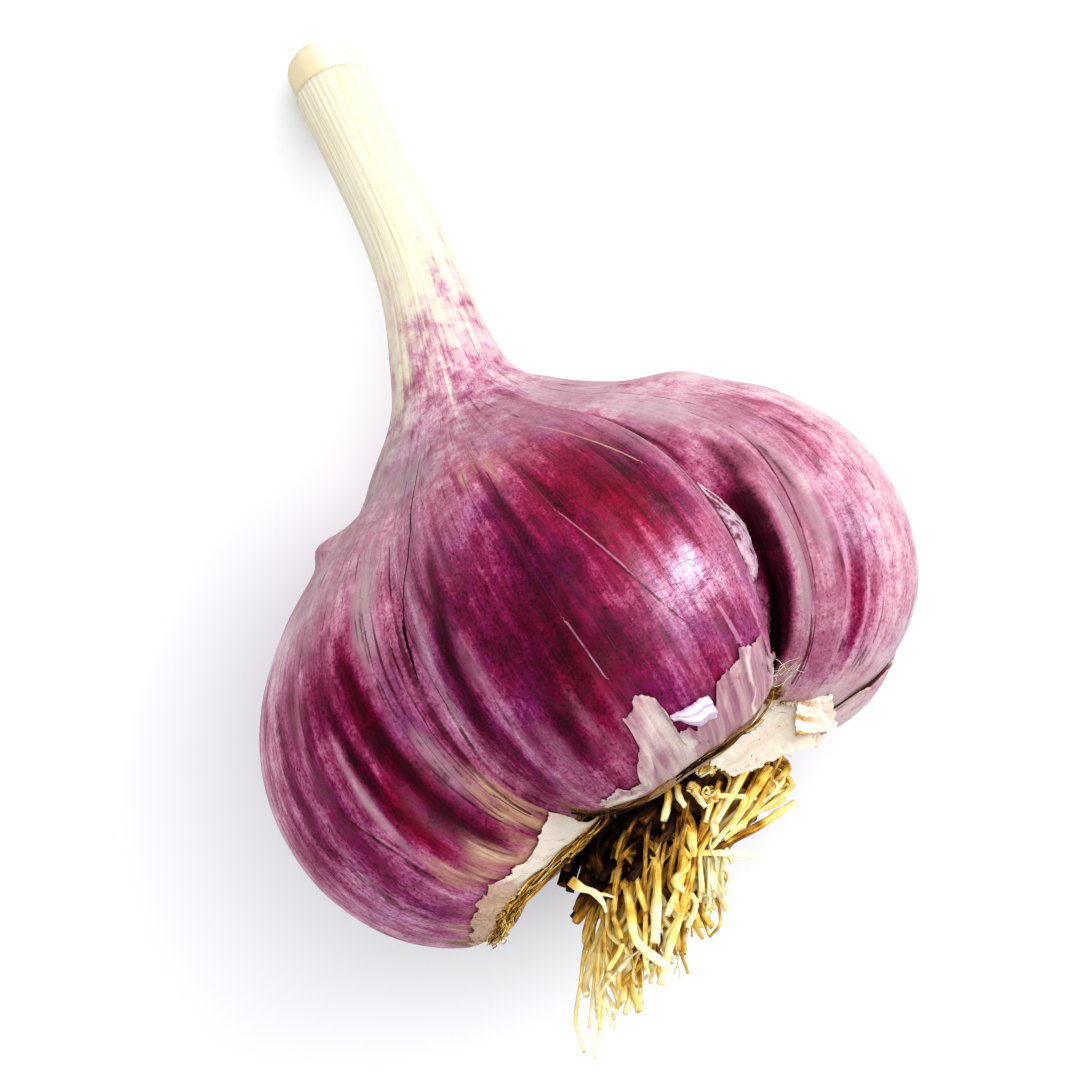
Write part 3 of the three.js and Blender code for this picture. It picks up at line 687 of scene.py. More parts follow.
def skin_points(angle, q):
    """The skin's points, with its relief, the crack, the deep furrow and the step at the torn rim."""
    groove = np.exp(-((apart(angle, crack_angle(q)) / CRACK_WIDTH) ** 2))
    groove = groove * smooth(q, 5.9, 6.6) * smooth(-q, -10.4, -9.9)
    height = skin_relief(angle, q) - CRACK_DEPTH * groove - 0.8 * spot(angle, q, (40.5, 5.0), (3.0, 2.2))
    height = height - RIM_STEP * smooth(skin_rim(angle) - q, -0.05, 0.1)
    return lay_clear(tucked(angle, q) + normals(angle, q) * height[..., None])


# Thin lines on the skin. Each corner is (knot, angle, half width in mm).
LINES = {
    "crack": [
        [(6.5, -28.9, 0.05), (6.9, -28.2, 0.12), (7.4, -27.7, 0.11), (7.9, -25, 0.1), (8.35, -21.4, 0.12),
         (8.75, -19.5, 0.1), (9.5, -18.3, 0.09), (10.6, -17, 0.05)]],
    "wine_line": [
        [(3.5, -30.6, 0.1), (4.6, -30.35, 0.12), (5.3, -30, 0.26), (6.2, -29.6, 0.3), (7, -29.1, 0.24),
         (7.6, -28.6, 0.12), (8.4, -28.2, 0.1), (9, -28, 0.06)],
        [(4, -28.6, 0.08), (4.6, -28.8, 0.12), (5, -28.4, 0.14), (5.6, -27.6, 0.12), (6.3, -27, 0.06)],
        [(5.8, -31.2, 0.06), (6.5, -31, 0.1), (7.2, -30.6, 0.08)],
        [(6.1, -33, 0.08), (6.8, -33, 0.14), (8, -32.6, 0.07)],
        [(3.9, -33.7, 0.07), (4.5, -34, 0.11), (5.3, -34.6, 0.07)],
        [(4.2, -47, 0.07), (4.8, -47.5, 0.11), (5.2, -48.6, 0.14), (5.6, -50, 0.1)],
        [(6.9, 0, 0.07), (7.8, 0.8, 0.13), (8.4, 1.8, 0.11), (8.9, 2.4, 0.06)],
        [(5.1, 15, 0.06), (5.6, 13, 0.12), (6.3, 10.8, 0.11), (6.9, 9.4, 0.06)],
        [(4.2, 48, 0.04), (5, 48.3, 0.06), (5.6, 48.6, 0.07), (6.3, 49.2, 0.08), (6.9, 50, 0.09),
         (7.6, 50.7, 0.04)],
        [(2.5, 47.2, 0.12), (3.4, 47.5, 0.12), (4, 47.3, 0.06)],
    ],
    "pale_line": [
        [(5.2, 13.6, 0.08), (6.3, 11.2, 0.1), (7.5, 8, 0.06)], [(5, 0, 0.06), (6.1, -0.5, 0.09)],
        [(4.45, 21.8, 0.26), (5.2, 20.9, 0.14)], [(4.3, -46.5, 0.08), (4.8, -47, 0.13), (5.2, -48, 0.09)],
        [(3, 52.2, 0.14), (3.8, 52.8, 0.16), (4.6, 53.4, 0.18), (5.4, 54, 0.15), (6.2, 54.3, 0.1),
         (7.5, 55.5, 0.07)],
        [(3.3, 56, 0.14), (4.5, 56.7, 0.12)], [(2.9, 57, 0.14), (3.5, 58.5, 0.15), (4.2, 59.3, 0.09)],
    ],
    "tan_line": [
        [(3.2, -31.5, 0.22), (4, -31.1, 0.26), (4.7, -31, 0.1)], [(3.2, -29.3, 0.2), (4.7, -29.8, 0.09)],
        [(7.4, 26, 0.09), (8.2, 22.8, 0.11), (9.3, 18.5, 0.09)],
    ],
}
# the crack's near black is painted shade inside the narrow crack
LINE_COLOURS = {"tan_line": ((0.52, 0.36, 0.24), 0.55), "pale_line": ((0.52, 0.27, 0.37), 0.55),
                "wine_line": ((0.07, 0.002, 0.018), 0.8), "crack": ((0.006, 0.002, 0.003), 1.0)}
MM_PER_DEGREE = 0.45  # of skin, about the bulb's belly


def crack_angle(q):
    """Angle of the long thin crack beside the front clove."""
    knots, angles, _ = zip(*LINES["crack"][0])
    return np.interp(q, knots, angles)


def line_field(angle, q, lines):
    """Distance from the nearest of some thin lines, in half widths; its sign changes only across a line."""
    closeness, sign = 0, 1
    for line in lines:
        knots, angles, widths = zip(*line)
        beyond = smooth(q, knots[-1] - 0.1, knots[-1] + 0.3) + smooth(-q, -knots[0] - 0.1, 0.3 - knots[0])
        offset = MM_PER_DEGREE * apart(angle, np.interp(q, knots, angles)) * (1 + 40 * beyond)
        offset = offset / np.interp(q, knots, widths)
        closeness = closeness + np.maximum(np.abs(offset), 0.01) ** -4.0
        sign = sign * np.where(offset < 0, -1, 1)
    return sign * np.minimum(closeness**-0.25, 40)


def bulb_skin():
    """The cloves' skins, the neck and the sheath of the stem, as one closed skin."""
    angle, q = skin_grid()
    faces = tube_faces(SKIN_COLUMNS, SKIN_ROWS)
    piece = make_object("garlic_skin", skin_points(angle, q), faces, skin_look())
    add_attribute(piece, "strand", fibre_space(angle, q), "FLOAT_VECTOR")
    for name, values in zip(CHANNELS, paint_skin(angle, q)):
        add_attribute(piece, name, values)
    # a painted shadow in the deep furrow under the torn edge, and a near-black line where the outer skin ends
    furrow_shadow = spot(angle, q, (42.2, 4.2), (0.9, 1.5)) + spot(angle, q, (42.3, 3.0), (1.4, 0.7))
    rim_line = np.exp(-(((q - skin_rim(angle)) / 0.07) ** 2)) * smooth(-np.abs(angle - 8), -32, -22)
    add_attribute(piece, "dark", np.clip(0.9 * furrow_shadow + 0.9 * rim_line, 0, 1))
    for name, lines in LINES.items():
        add_attribute(piece, name, line_field(angle, q, lines))
    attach(piece, "root")
    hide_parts("bulb_body")


# --- Roots --------------------------------------------------------------------------------------------------

PLATE_PROFILE = [(0, 1.45), (4.9, 1.45), (6.2, 0.2), (8.2, -0.9), (7.6, -2.6), (5, -3.8), (0, -4.4)]
KNOT_OF_ROOTS = np.array([-1.6, -7.0, -6.0])  # where the front roots bunch together before they hang down
SWEEP = np.array([-0.55, 0.0, -0.84])  # the way the dry roots were combed


class Strands:
    """Many thin tubes gathered in one mesh, with values along them for their material."""

    def __init__(self):
        self.points, self.faces, self.strand, self.tone, self.tip = [], [], [], [], []
        self.count = 0

    def add(self, path, radius, rng, tone=0.5, flat=0.8, sides=7, taper=0.8, steps=5, wiggle=0.0):
        """One tube along a path in mm, flattened, creased and tapering, with closed ends."""
        path = np.asarray(path, float)
        if wiggle:
            path = path + rng.normal(0, wiggle, path.shape) * np.linspace(0.2, 1, len(path))[:, None]
        centre = spline(path, np.linspace(0, len(path) - 1, steps * (len(path) - 1) + 1))
        rows = len(centre)
        along = unit(np.gradient(centre, axis=0))
        side = unit(np.cross(along, rng.normal(0, 1, 3)))
        up = np.cross(along, side)
        s = np.linspace(0, 1, rows)
        knobs = 1 + 0.1 * np.sin(s * rng.uniform(9, 20) + rng.uniform(0, 6))
        width = radius * (1 + (taper - 1) * s) * knobs
        turn = np.arange(sides) / sides * 2 * np.pi + rng.uniform(0, 6)
        crease = 1 + 0.18 * np.sin(2 * turn + rng.uniform(0, 6)) + 0.12 * np.sin(3 * turn)
        ring = (side[:, None] * (np.cos(turn) * crease)[None, :, None]
                + up[:, None] * (flat * np.sin(turn) * crease)[None, :, None]) * width[:, None, None]
        ends = np.stack([centre[0], centre[-1] - along[-1] * radius * 0.3])
        self.points.append(np.vstack([(centre[:, None] + ring).reshape(-1, 3), ends]))

        here = self.count + np.arange(rows * sides).reshape(rows, sides)
        there = np.roll(here, -1, 1)
        first = self.count + rows * sides
        self.faces += quads(here[:-1], there[:-1], there[1:], here[1:])
        self.faces += [(first, there[0, k], here[0, k]) for k in range(sides)]
        self.faces += [(first + 1, here[-1, k], there[-1, k]) for k in range(sides)]

        length = np.concatenate([[0], np.cumsum(np.linalg.norm(np.diff(centre, axis=0), axis=1))])
        shift = rng.uniform(0, 90)
        strand = np.stack(np.broadcast_arrays(np.cos(turn), np.sin(turn), length[:, None]), -1).reshape(-1, 3)
        self.strand.append(np.vstack([strand, strand[:1], strand[-1:]]) + shift)
        self.tone.append(np.full(rows * sides + 2, tone))
        self.tip.append(np.concatenate([np.repeat(s, sides), [0, 1]]))
        self.count += rows * sides + 2

    def build(self, name, material):
        """The mesh object of all tubes."""
        piece = make_object(name, lay(np.vstack(self.points)), self.faces, material)
        add_attribute(piece, "strand", np.vstack(self.strand), "FLOAT_VECTOR")
        add_attribute(piece, "tone", np.concatenate(self.tone))
        add_attribute(piece, "tip", np.concatenate(self.tip))
        return piece


def root_look(name):
    """Dry roots: straw yellow with brown bases and bleached tips, wrinkled lengthways; the darkening towards
    the base is partly painted shade.
    """
    look = Look(name)
    strand, tone, tip = look.attribute("strand", "Vector"), look.attribute("tone"), look.attribute("tip")
    wrinkle = look.fibres(strand, 0.25, 2.4, 3)
    blotch = look.noise(look.scaled(strand, (0.3, 0.3, 1)), 0.8, 3, 0.6)
    shade = look.vary(look.vary(tone, wrinkle, 0.7), blotch, 0.9)
    # darker towards the base, paler towards the tip: partly the roots' own colour, partly painted shade deep
    # in the tuft
    shade = look.math("MULTIPLY_ADD", tip, 0.6, look.math("SUBTRACT", shade, 0.26), clamp=True)
    colour = look.ramp(shade, (0, (0.018, 0.006, 0.001)), (0.2, (0.12, 0.045, 0.006)),
                       (0.4, (0.46, 0.225, 0.03)), (0.58, (0.78, 0.51, 0.1)), (0.78, (0.93, 0.75, 0.31)),
                       (1, (0.98, 0.9, 0.62)))
    bump = look.bump(wrinkle, 0.8, 0.00016)
    return look.finish(Base_Color=colour, Roughness=look.between(blotch, 0.3, 0.7, 0.45, 0.7), Normal=bump,
                       Specular_IOR_Level=0.3)


def plate_height(radius):
    """Height of the root plate's underside at a distance from its middle."""
    radii, heights = zip(*reversed(PLATE_PROFILE[3:]))
    return np.interp(radius, radii, heights)


def plate_point(angle, radius):
    """A point just inside the root plate, where a root starts."""
    a = math.radians(angle)
    return np.array([radius * math.sin(a), -radius * math.cos(a), plate_height(radius) + 0.3])


def lathe(profile, q):
    """Radii and heights at places q along a smooth profile of (radius, height) knots in mm."""
    shape = spline(np.array(profile, float), np.clip(q, 0.001, len(profile) - 1.001))
    return np.maximum(shape[:, 0], 0.01), shape[:, 1]


def root_plate():
    """The corky disc that the roots grow from, rough with the scars of old roots."""
    look = Look("root_plate")
    crust = look.noise(look.place(), 900.0, 4, 0.7)
    colour = look.ramp(crust, (0.3, (0.018, 0.007, 0.003)), (0.5, (0.085, 0.036, 0.012)),
                       (0.72, (0.34, 0.19, 0.07)))
    material = look.finish(Base_Color=colour, Roughness=0.8, Normal=look.bump(crust, 1.0, 0.0004))
    columns, rows = 96, 40
    turn = np.linspace(0, 2 * np.pi, columns, endpoint=False)
    radius, height = lathe(PLATE_PROFILE, np.linspace(0.001, len(PLATE_PROFILE) - 1.001, rows))
    x, y = np.sin(turn)[:, None] * radius, -np.cos(turn)[:, None] * radius
    points = np.stack(np.broadcast_arrays(x, y, height), -1)
    rough = noise(points * 0.9, 3, 3)[..., None]
    points = points * (1 + 0.05 * rough) + np.array([0, 0, -0.25]) * rough
    piece = make_object("root_plate", lay(points.reshape(-1, 3)), tube_faces(columns, rows, True), material)
    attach(piece, "root")
    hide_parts("root_crown")


HANGING_ROOTS = 150
LOOPING_ROOTS = 28
BROWN_ROOTS = 150
ROOT_HAIRS = 26
# Three small knots of thin roots on top of the tuft: middle and size in mm.
TANGLES = [((2.7, -8.9, -0.8), 1.0), ((1.9, -9.0, -2.7), 0.9), ((0.9, -8.9, -1.6), 0.7)]
# The roots that lie on top of the tuft: radius, tone (0 brown to 1 bleached), then points from base to tip.
# tones below 0 give near-black roots: partly their own dark brown, partly painted shade among the roots
TOP_ROOTS = [
    (0.36, 0.66, (-0.5, -8.2, 0), (-1.3, -8.9, -1.2), (-2.6, -8.9, -2.5)),
    (0.3, 0.78, (0, -8.2, -0.5), (-0.4, -9.1, -1.5), (-0.4, -9, -2.6)),
    (0.42, 0.78, (6.4, -8, -2.4), (4.9, -8.7, -2.9), (2.9, -8.5, -3.9), (1, -8, -4.8)),
    (0.38, 0.72, (7.3, -7.4, -3.3), (5.3, -8, -4.4), (3.4, -7.7, -5.1), (1.6, -7.2, -5.9)),
    (0.28, 0.74, (0.7, -8.3, -2.4), (2.6, -8.8, -3.3), (4.2, -8.4, -4.4)),
    (0.28, 0.7, (3.1, -8.2, -2.2), (1.6, -8.8, -3.3), (0.3, -8.4, -4.4)),
    (0.36, 0.8, (0.8, -8.6, -1.2), (0.9, -9, -2.5), (1, -8.9, -3.4)),
    (0.38, 0.66, (5.6, -7, -2), (2.6, -8, -3.7), (1.1, -8, -4.5), (0.4, -7.2, -5.8)),
    (0.34, 0.6, (8, -5, -2.2), (4.6, -8, -4.3), (2.6, -8, -5.4), (-0.6, -6.9, -6.4)),
    (0.3, 0.55, (8.2, -3, -2.4), (6.2, -6.5, -4.6), (3.4, -7, -5.9), (0.8, -7, -6.3)),
    (0.28, 0.7, (1.8, -7.8, -3.5), (3.9, -7.5, -4.1), (5.4, -6, -5.4)),
    (0.34, 0.52, (-1, -7, -6.6), (3.8, -6, -6.9), (5.7, -5, -6.8), (7.4, -4, -6.8)),
    (0.3, 0.62, (-1.6, -7.2, -2.4), (-1.2, -7.9, -4), (-1.6, -7.5, -5), (-2.1, -7, -6.6)),
    (0.3, 0.58, (-0.6, -7, -2), (-0.7, -7.6, -3.8), (-1.4, -7.5, -5), (-2.4, -7, -7)),
    (0.28, 0.38, (-1.8, -7, -2), (-2.4, -7.3, -3), (-2.6, -7.6, -4.4), (-2.3, -7.1, -6.2)),
    (0.42, 0.3, (-4.2, -6.4, -0.6), (-4.6, -7.2, -1.9), (-4.5, -7.4, -3.3), (-5, -7.2, -4.4)),
    (0.34, 1, (-1.4, -7.2, -6.2), (0.8, -6.9, -7.7), (2.6, -6.4, -9.3)),
    (0.34, 0.45, (-6.8, -4, -0.6), (-7, -5.6, -1.6), (-6.6, -7, -3.9), (-7.4, -7.2, -6.1), (-7.8, -7, -7.8)),
    (0.46, 0.62, (-6, -4, -3), (-8, -6.2, -5.2), (-8.8, -7, -7), (-9.8, -7.4, -9.5), (-8.8, -7.4, -12.6)),
    (0.52, 0.78, (-4.2, -5.6, -3.4), (-5.9, -7.3, -6.5), (-7.4, -7.2, -8.7), (-8.6, -6.4, -10.3)),
    (0.36, 0.66, (-2.3, -7, -5.4), (-4.5, -7.2, -7.6), (-6.6, -6.4, -9)),
    (0.4, 0.62, (-1.7, -7, -5.9), (-3.8, -7.2, -8), (-5.4, -6.8, -9.4), (-7.4, -6.2, -10.9),
     (-10.2, -5.2, -13.4)),
    (0.55, -0.2, (-6.5, -4.5, 0.2), (-8.2, -5, 0.4), (-10, -5.6, -0.2), (-11.6, -6, -1.2)),
    (0.6, -0.25, (-6.5, -4, -0.6), (-8.2, -4.6, -0.7), (-9.8, -5.2, -1.7), (-11, -5.6, -2.9)),
    (0.5, -0.1, (-6, -5.5, 0.2), (-7.6, -6.4, -0.2), (-8.8, -6.8, -1.5), (-9.4, -7, -3.4)),
    (0.55, -0.3, (-7, -2, 0.3), (-9, -2.6, 0.4), (-11, -3.6, -0.6), (-12.6, -4.4, -2)),
    (0.45, 0.05, (-6.4, -5.8, 0.9), (-8.4, -6.4, 1.1), (-9.8, -7.4, 0.5), (-11.2, -8.2, -0.8)),
    (0.5, -0.3, (-7, 0, 0.2), (-9.4, -0.8, -0.2), (-11.4, -1.8, -1.4), (-12.4, -2.2, -2.6)),
    (0.4, -0.05, (-6.8, -4.8, 1.2), (-8.6, -5.4, 1.3), (-10.2, -5.8, 0.6), (-11.8, -6.6, 0.2)),
    (0.55, 0.12, (-6.4, -4.2, -2.6), (-9.9, -3.4, -3.6), (-11.9, -2.4, -4.4), (-13.4, -1.6, -4.9)),
    (0.4, 0.05, (-7.4, -2.2, -2.2), (-10.9, -2.4, -3.2), (-12.9, -1.6, -4.2)),
    (0.07, 0.75, (-11.2, -1, -4.5), (-13, 0, -6.6), (-14.2, 0.4, -8.6), (-16.4, 0, -12.6)),
    (0.1, 0.8, (-13.2, 0, -8.8), (-14.8, 0.2, -11), (-15.6, 0, -14.2)),
]


def hanging_root(rng):
    """Path of one root of the tuft: out of the plate, in towards the waist, then down along the sweep."""
    angle, reach = rng.uniform(0, 360), 8.0 * math.sqrt(rng.uniform(0.04, 1))
    base = plate_point(angle, reach)
    outward = np.array([base[0], base[1], 0]) / max(reach, 1)
    shoulder = base + outward * rng.uniform(0.3, 1.4) + np.array([-0.8, 0, -rng.uniform(1.0, 2.0)])
    across = 0.52 * max(base[0], 0) + 1.15 * min(base[0], 0)
    waist = np.array([-3.8 + across, 0.8 * base[1], -6.0 + 0.06 * base[0]]) + rng.normal(0, 0.6, 3)
    length = np.clip(6.2 - 0.26 * base[0], 3.4, 8.6) * rng.uniform(0.5, 1.15)
    way = SWEEP + np.array([rng.normal(0, 0.13), rng.normal(0, 0.12), rng.normal(0, 0.05)])
    bend = rng.normal(0, 0.5, 3)
    return [base, shoulder, waist, waist + way * length * 0.35 + bend,
            waist + way * length * 0.7 - 0.6 * bend, waist + way * length + rng.normal(0, 0.5, 3)]


def looping_root(rng):
    """Path of one root that arches out on the right side and comes back to the knot."""
    base = plate_point(rng.uniform(25, 115), rng.uniform(6.0, 8.2))
    outward = np.array([base[0], base[1], 0]) / 8
    arch = base + outward * rng.uniform(0.6, 1.4) + np.array([0.2, 0, -rng.uniform(1.5, 2.6)])
    meeting = KNOT_OF_ROOTS + np.array([1.4, 1.2, 0]) + rng.normal(0, 0.7, 3)
    way = SWEEP + np.array([rng.normal(0, 0.15), rng.normal(0, 0.12), 0])
    return [base, arch, (arch + meeting) / 2 + outward * 0.8, meeting, meeting + way * rng.uniform(1.5, 5)]


def brown_root(rng):
    """Path of one short brown root on the left side."""
    base = plate_point(rng.uniform(-105, -5), rng.uniform(5.5, 8.2))
    way = np.array([-0.75 + rng.normal(0, 0.3), -0.25 + rng.normal(0, 0.3), -rng.uniform(0.1, 0.7)])
    length = rng.uniform(1.6, 5.0)
    return [base, base + way * length * 0.5 + rng.normal(0, 0.2, 3), base + way * length]


def root_tuft():
    """All roots of the bulb."""
    rng = np.random.default_rng(20)
    strands = Strands()
    for radius, tone, *path in TOP_ROOTS:
        strands.add(path, radius, rng, tone, sides=9, taper=0.85, steps=6)
    for _ in range(HANGING_ROOTS):
        path = hanging_root(rng)
        # roots from the middle of the plate are toned darker: painted shade deep in the tuft
        outer = smooth(math.hypot(path[0][0], path[0][1]), 3.5, 7.0)
        radius, tone = rng.uniform(0.18, 0.42), rng.uniform(0.08, 0.36) + 0.42 * outer
        strands.add(path, radius, rng, tone, flat=0.62, wiggle=0.26)
    for _ in range(LOOPING_ROOTS):
        strands.add(looping_root(rng), rng.uniform(0.12, 0.3), rng, rng.uniform(0.55, 1.0), wiggle=0.28)
    for _ in range(BROWN_ROOTS):
        # tones down to -0.4 make them near black: partly their own dark brown, partly painted shade in the
        # gaps of the tuft
        path, radius, tone = brown_root(rng), rng.uniform(0.2, 0.6), rng.uniform(-0.4, 0.16)
        strands.add(path, radius, rng, tone, flat=0.6, wiggle=0.25)
    for _ in range(ROOT_HAIRS):
        path = hanging_root(rng)
        path = path[2:] + [path[-1] + SWEEP * rng.uniform(0.5, 1.6)]
        strands.add(path, 0.07, rng, 0.7, sides=5, wiggle=0.35)
    for middle, size in TANGLES:
        for _ in range(3):
            tangle = unit(rng.normal(0, 1, (9, 3))) * np.array([size, 0.35 * size, size]) * 0.8
            radius, tone = rng.uniform(0.11, 0.17), rng.uniform(0.55, 0.8)
            strands.add(tangle + np.array(middle), radius, rng, tone, sides=8)
    piece = strands.build("roots", root_look("dry_roots"))
    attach(piece, "root")
    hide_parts("root_crown")


# --- Papery skin --------------------------------------------------------------------------------------------

def papery_look(name):
    """Thin dry skin: cream to lilac-white with fine ribs, brown where it is old and pink over the cloves."""
    look = Look(name)
    strand = look.attribute("strand", "Vector")
    ribs, grain = look.fibres(strand, 0.07, 1.6, 3), look.noise(strand, 4.0, 4, 0.7)
    colour = look.ramp(ribs, (0.3, (0.66, 0.55, 0.45)), (0.5, (0.75, 0.67, 0.585)), (0.7, (0.82, 0.77, 0.71)))
    rosy = look.ramp(ribs, (0.34, (0.27, 0.12, 0.165)), (0.5, (0.36, 0.2, 0.24)), (0.66, (0.46, 0.31, 0.34)))
    colour = look.mix(look.vary(look.attribute("pink"), grain, 0.6, clamp=True), colour, rosy)
    brown = look.ramp(grain, (0.35, (0.12, 0.045, 0.01)), (0.52, (0.42, 0.24, 0.065)),
                      (0.68, (0.66, 0.47, 0.19)))
    colour = look.mix(look.vary(look.attribute("age"), ribs, 0.9, clamp=True), colour, brown)
    colour = look.mix(look.attribute("lilac"), colour, (0.56, 0.42, 0.6))
    # wine where the furrow shows through a sheet: partly the skin's own colour, partly painted shade
    colour = look.mix(look.attribute("wine"), colour, (0.13, 0.01, 0.035))
    bump = look.bump(grain, 0.3, 0.00008, look.bump(ribs, 0.6, 0.00018))
    return look.finish(Base_Color=colour, Roughness=look.between(grain, 0.3, 0.7, 0.38, 0.6), Normal=bump,
                       Specular_IOR_Level=0.35, Subsurface_Weight=0.15, Subsurface_Scale=0.0008)


def sheet(name, node, points, strand, pink=0.0, age=0.0, thickness=0.09, wine=0.0, lilac=0.0):
    """A thin closed sheet over a grid of points in mm, standing for a piece of skin of the CAD model."""
    across, along = points.shape[:2]
    out = unit(np.cross(np.gradient(points, axis=0), np.gradient(points, axis=1)))
    both = np.concatenate([points, points - out * thickness]).reshape(-1, 3)
    top = np.arange(across * along).reshape(across, along)
    under = top + top.size
    faces = quads(top[:-1, :-1], top[1:, :-1], top[1:, 1:], top[:-1, 1:])
    faces += quads(under[:-1, :-1], under[:-1, 1:], under[1:, 1:], under[1:, :-1])
    rim = np.concatenate([top[:, 0], top[-1, 1:], top[-2::-1, -1], top[0, -2:0:-1]])
    after = np.roll(rim, -1)
    faces += quads(rim, rim + top.size, after + top.size, after)
    piece = make_object(name, lay(both), faces, PAPERY)
    add_attribute(piece, "strand", np.concatenate([strand.reshape(-1, 3)] * 2), "FLOAT_VECTOR")
    for key, values in (("pink", pink), ("age", age), ("wine", wine), ("lilac", lilac)):
        add_attribute(piece, key, np.tile(np.broadcast_to(values, (across, along)).ravel(), 2))
    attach(piece, "root")
    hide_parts(node)


def jagged(x, seed, size, pitch=1.2):
    """A torn edge: how far it runs in or out at each place along it."""
    x = np.asarray(x, float)
    points = np.stack([x / pitch, np.zeros_like(x), np.full_like(x, seed)], -1)
    return size * (noise(points, seed, 4) + 0.5 * np.round(2 * lattice(points * 1.7, seed + 5)) / 2)


def skin_remnant(name, node, angles, low, high, lift, pink, age, seed, tear=0.25, across=150):
    """Skin that still clings to a clove, between two knot outlines given as (angle, knot) corners."""
    u, v = unit_square(across, 26)
    angle = angles[0] + (angles[1] - angles[0]) * u
    bottom = np.interp(angle[:, 0], *zip(*low)) + jagged(angle[:, 0], seed + 1, tear * 0.4)
    top = np.interp(angle[:, 0], *zip(*high)) + jagged(angle[:, 0], seed, tear)
    top = np.maximum(top, bottom + 0.03)
    angle = angle + 0.8 * lattice(np.stack([u * 30, v * 5, u * 0 + seed], -1), seed)
    q = bottom[:, None] + (top - bottom)[:, None] * v
    height = lift[0] + (lift[1] - lift[0]) * v**3 + 0.1 * flat_noise(u * 16, v * 4, seed + 9)
    points = raised(angle, q, height + skin_relief(angle, q))
    sheet(name, node, points, fibre_space(angle, q) + seed, pink(u, v), age(u, v))


def loose_flake(name, corners, bulge, age, seed, tear, size=(90, 60)):
    """A torn flake that stands off the right of the bulb, spanned between four corners in mm."""
    u, v = unit_square(*size)
    a, b, c, d = (np.array(corner, float) for corner in corners)
    ends = [jagged(u[:, 0] * 12, seed + k, tear)[:, None] for k in (0, 1)]
    sides = [jagged(v[0] * 9, seed + k, tear)[None, :] for k in (2, 3)]
    length, width = np.linalg.norm(d - a), np.linalg.norm(b - a)
    down = (v + (ends[0] * (1 - v) + ends[1] * v) / length)[..., None]
    over = (u + (sides[0] * (1 - u) + sides[1] * u) / width)[..., None]
    points = (a * (1 - over) + b * over) * (1 - down) + (d * (1 - over) + c * over) * down
    out = unit(np.cross(b - a, d - a))
    wave = bulge * np.sin(np.pi * u) * np.sin(np.pi * v) + 0.25 * flat_noise(u * 2.5, v * 2, seed + 7)
    strand = np.stack([v * length, v * 0, u * width], -1) + seed
    sheet(name, "skin_flake_right", points + out * wave[..., None], strand, age=age(u, v))


# Where the strip of old skin on the left clove ends towards the roots: angle, knot.
LEFT_HEM = [(-62, 3.0), (-50, 3.1), (-45, 3.0), (-42, 2.95), (-38, 2.75), (-33.4, 2.45), (-30, 2.05)]


def remnant_pink(u, v):
    """How far the clove shows through the front remnant: little at its left tongue, more to the right."""
    clouds = flat_noise(u * 9, v * 3, 101, 3)
    white_streak = np.exp(-(((u - 0.8 - 0.03 * v) / 0.012) ** 2)) + smooth(u, 0.95, 1.0)
    return np.clip(0.75 + 0.5 * smooth(u, 0.45, 0.6) + 0.8 * clouds - 0.7 * white_streak, 0, 1.3)


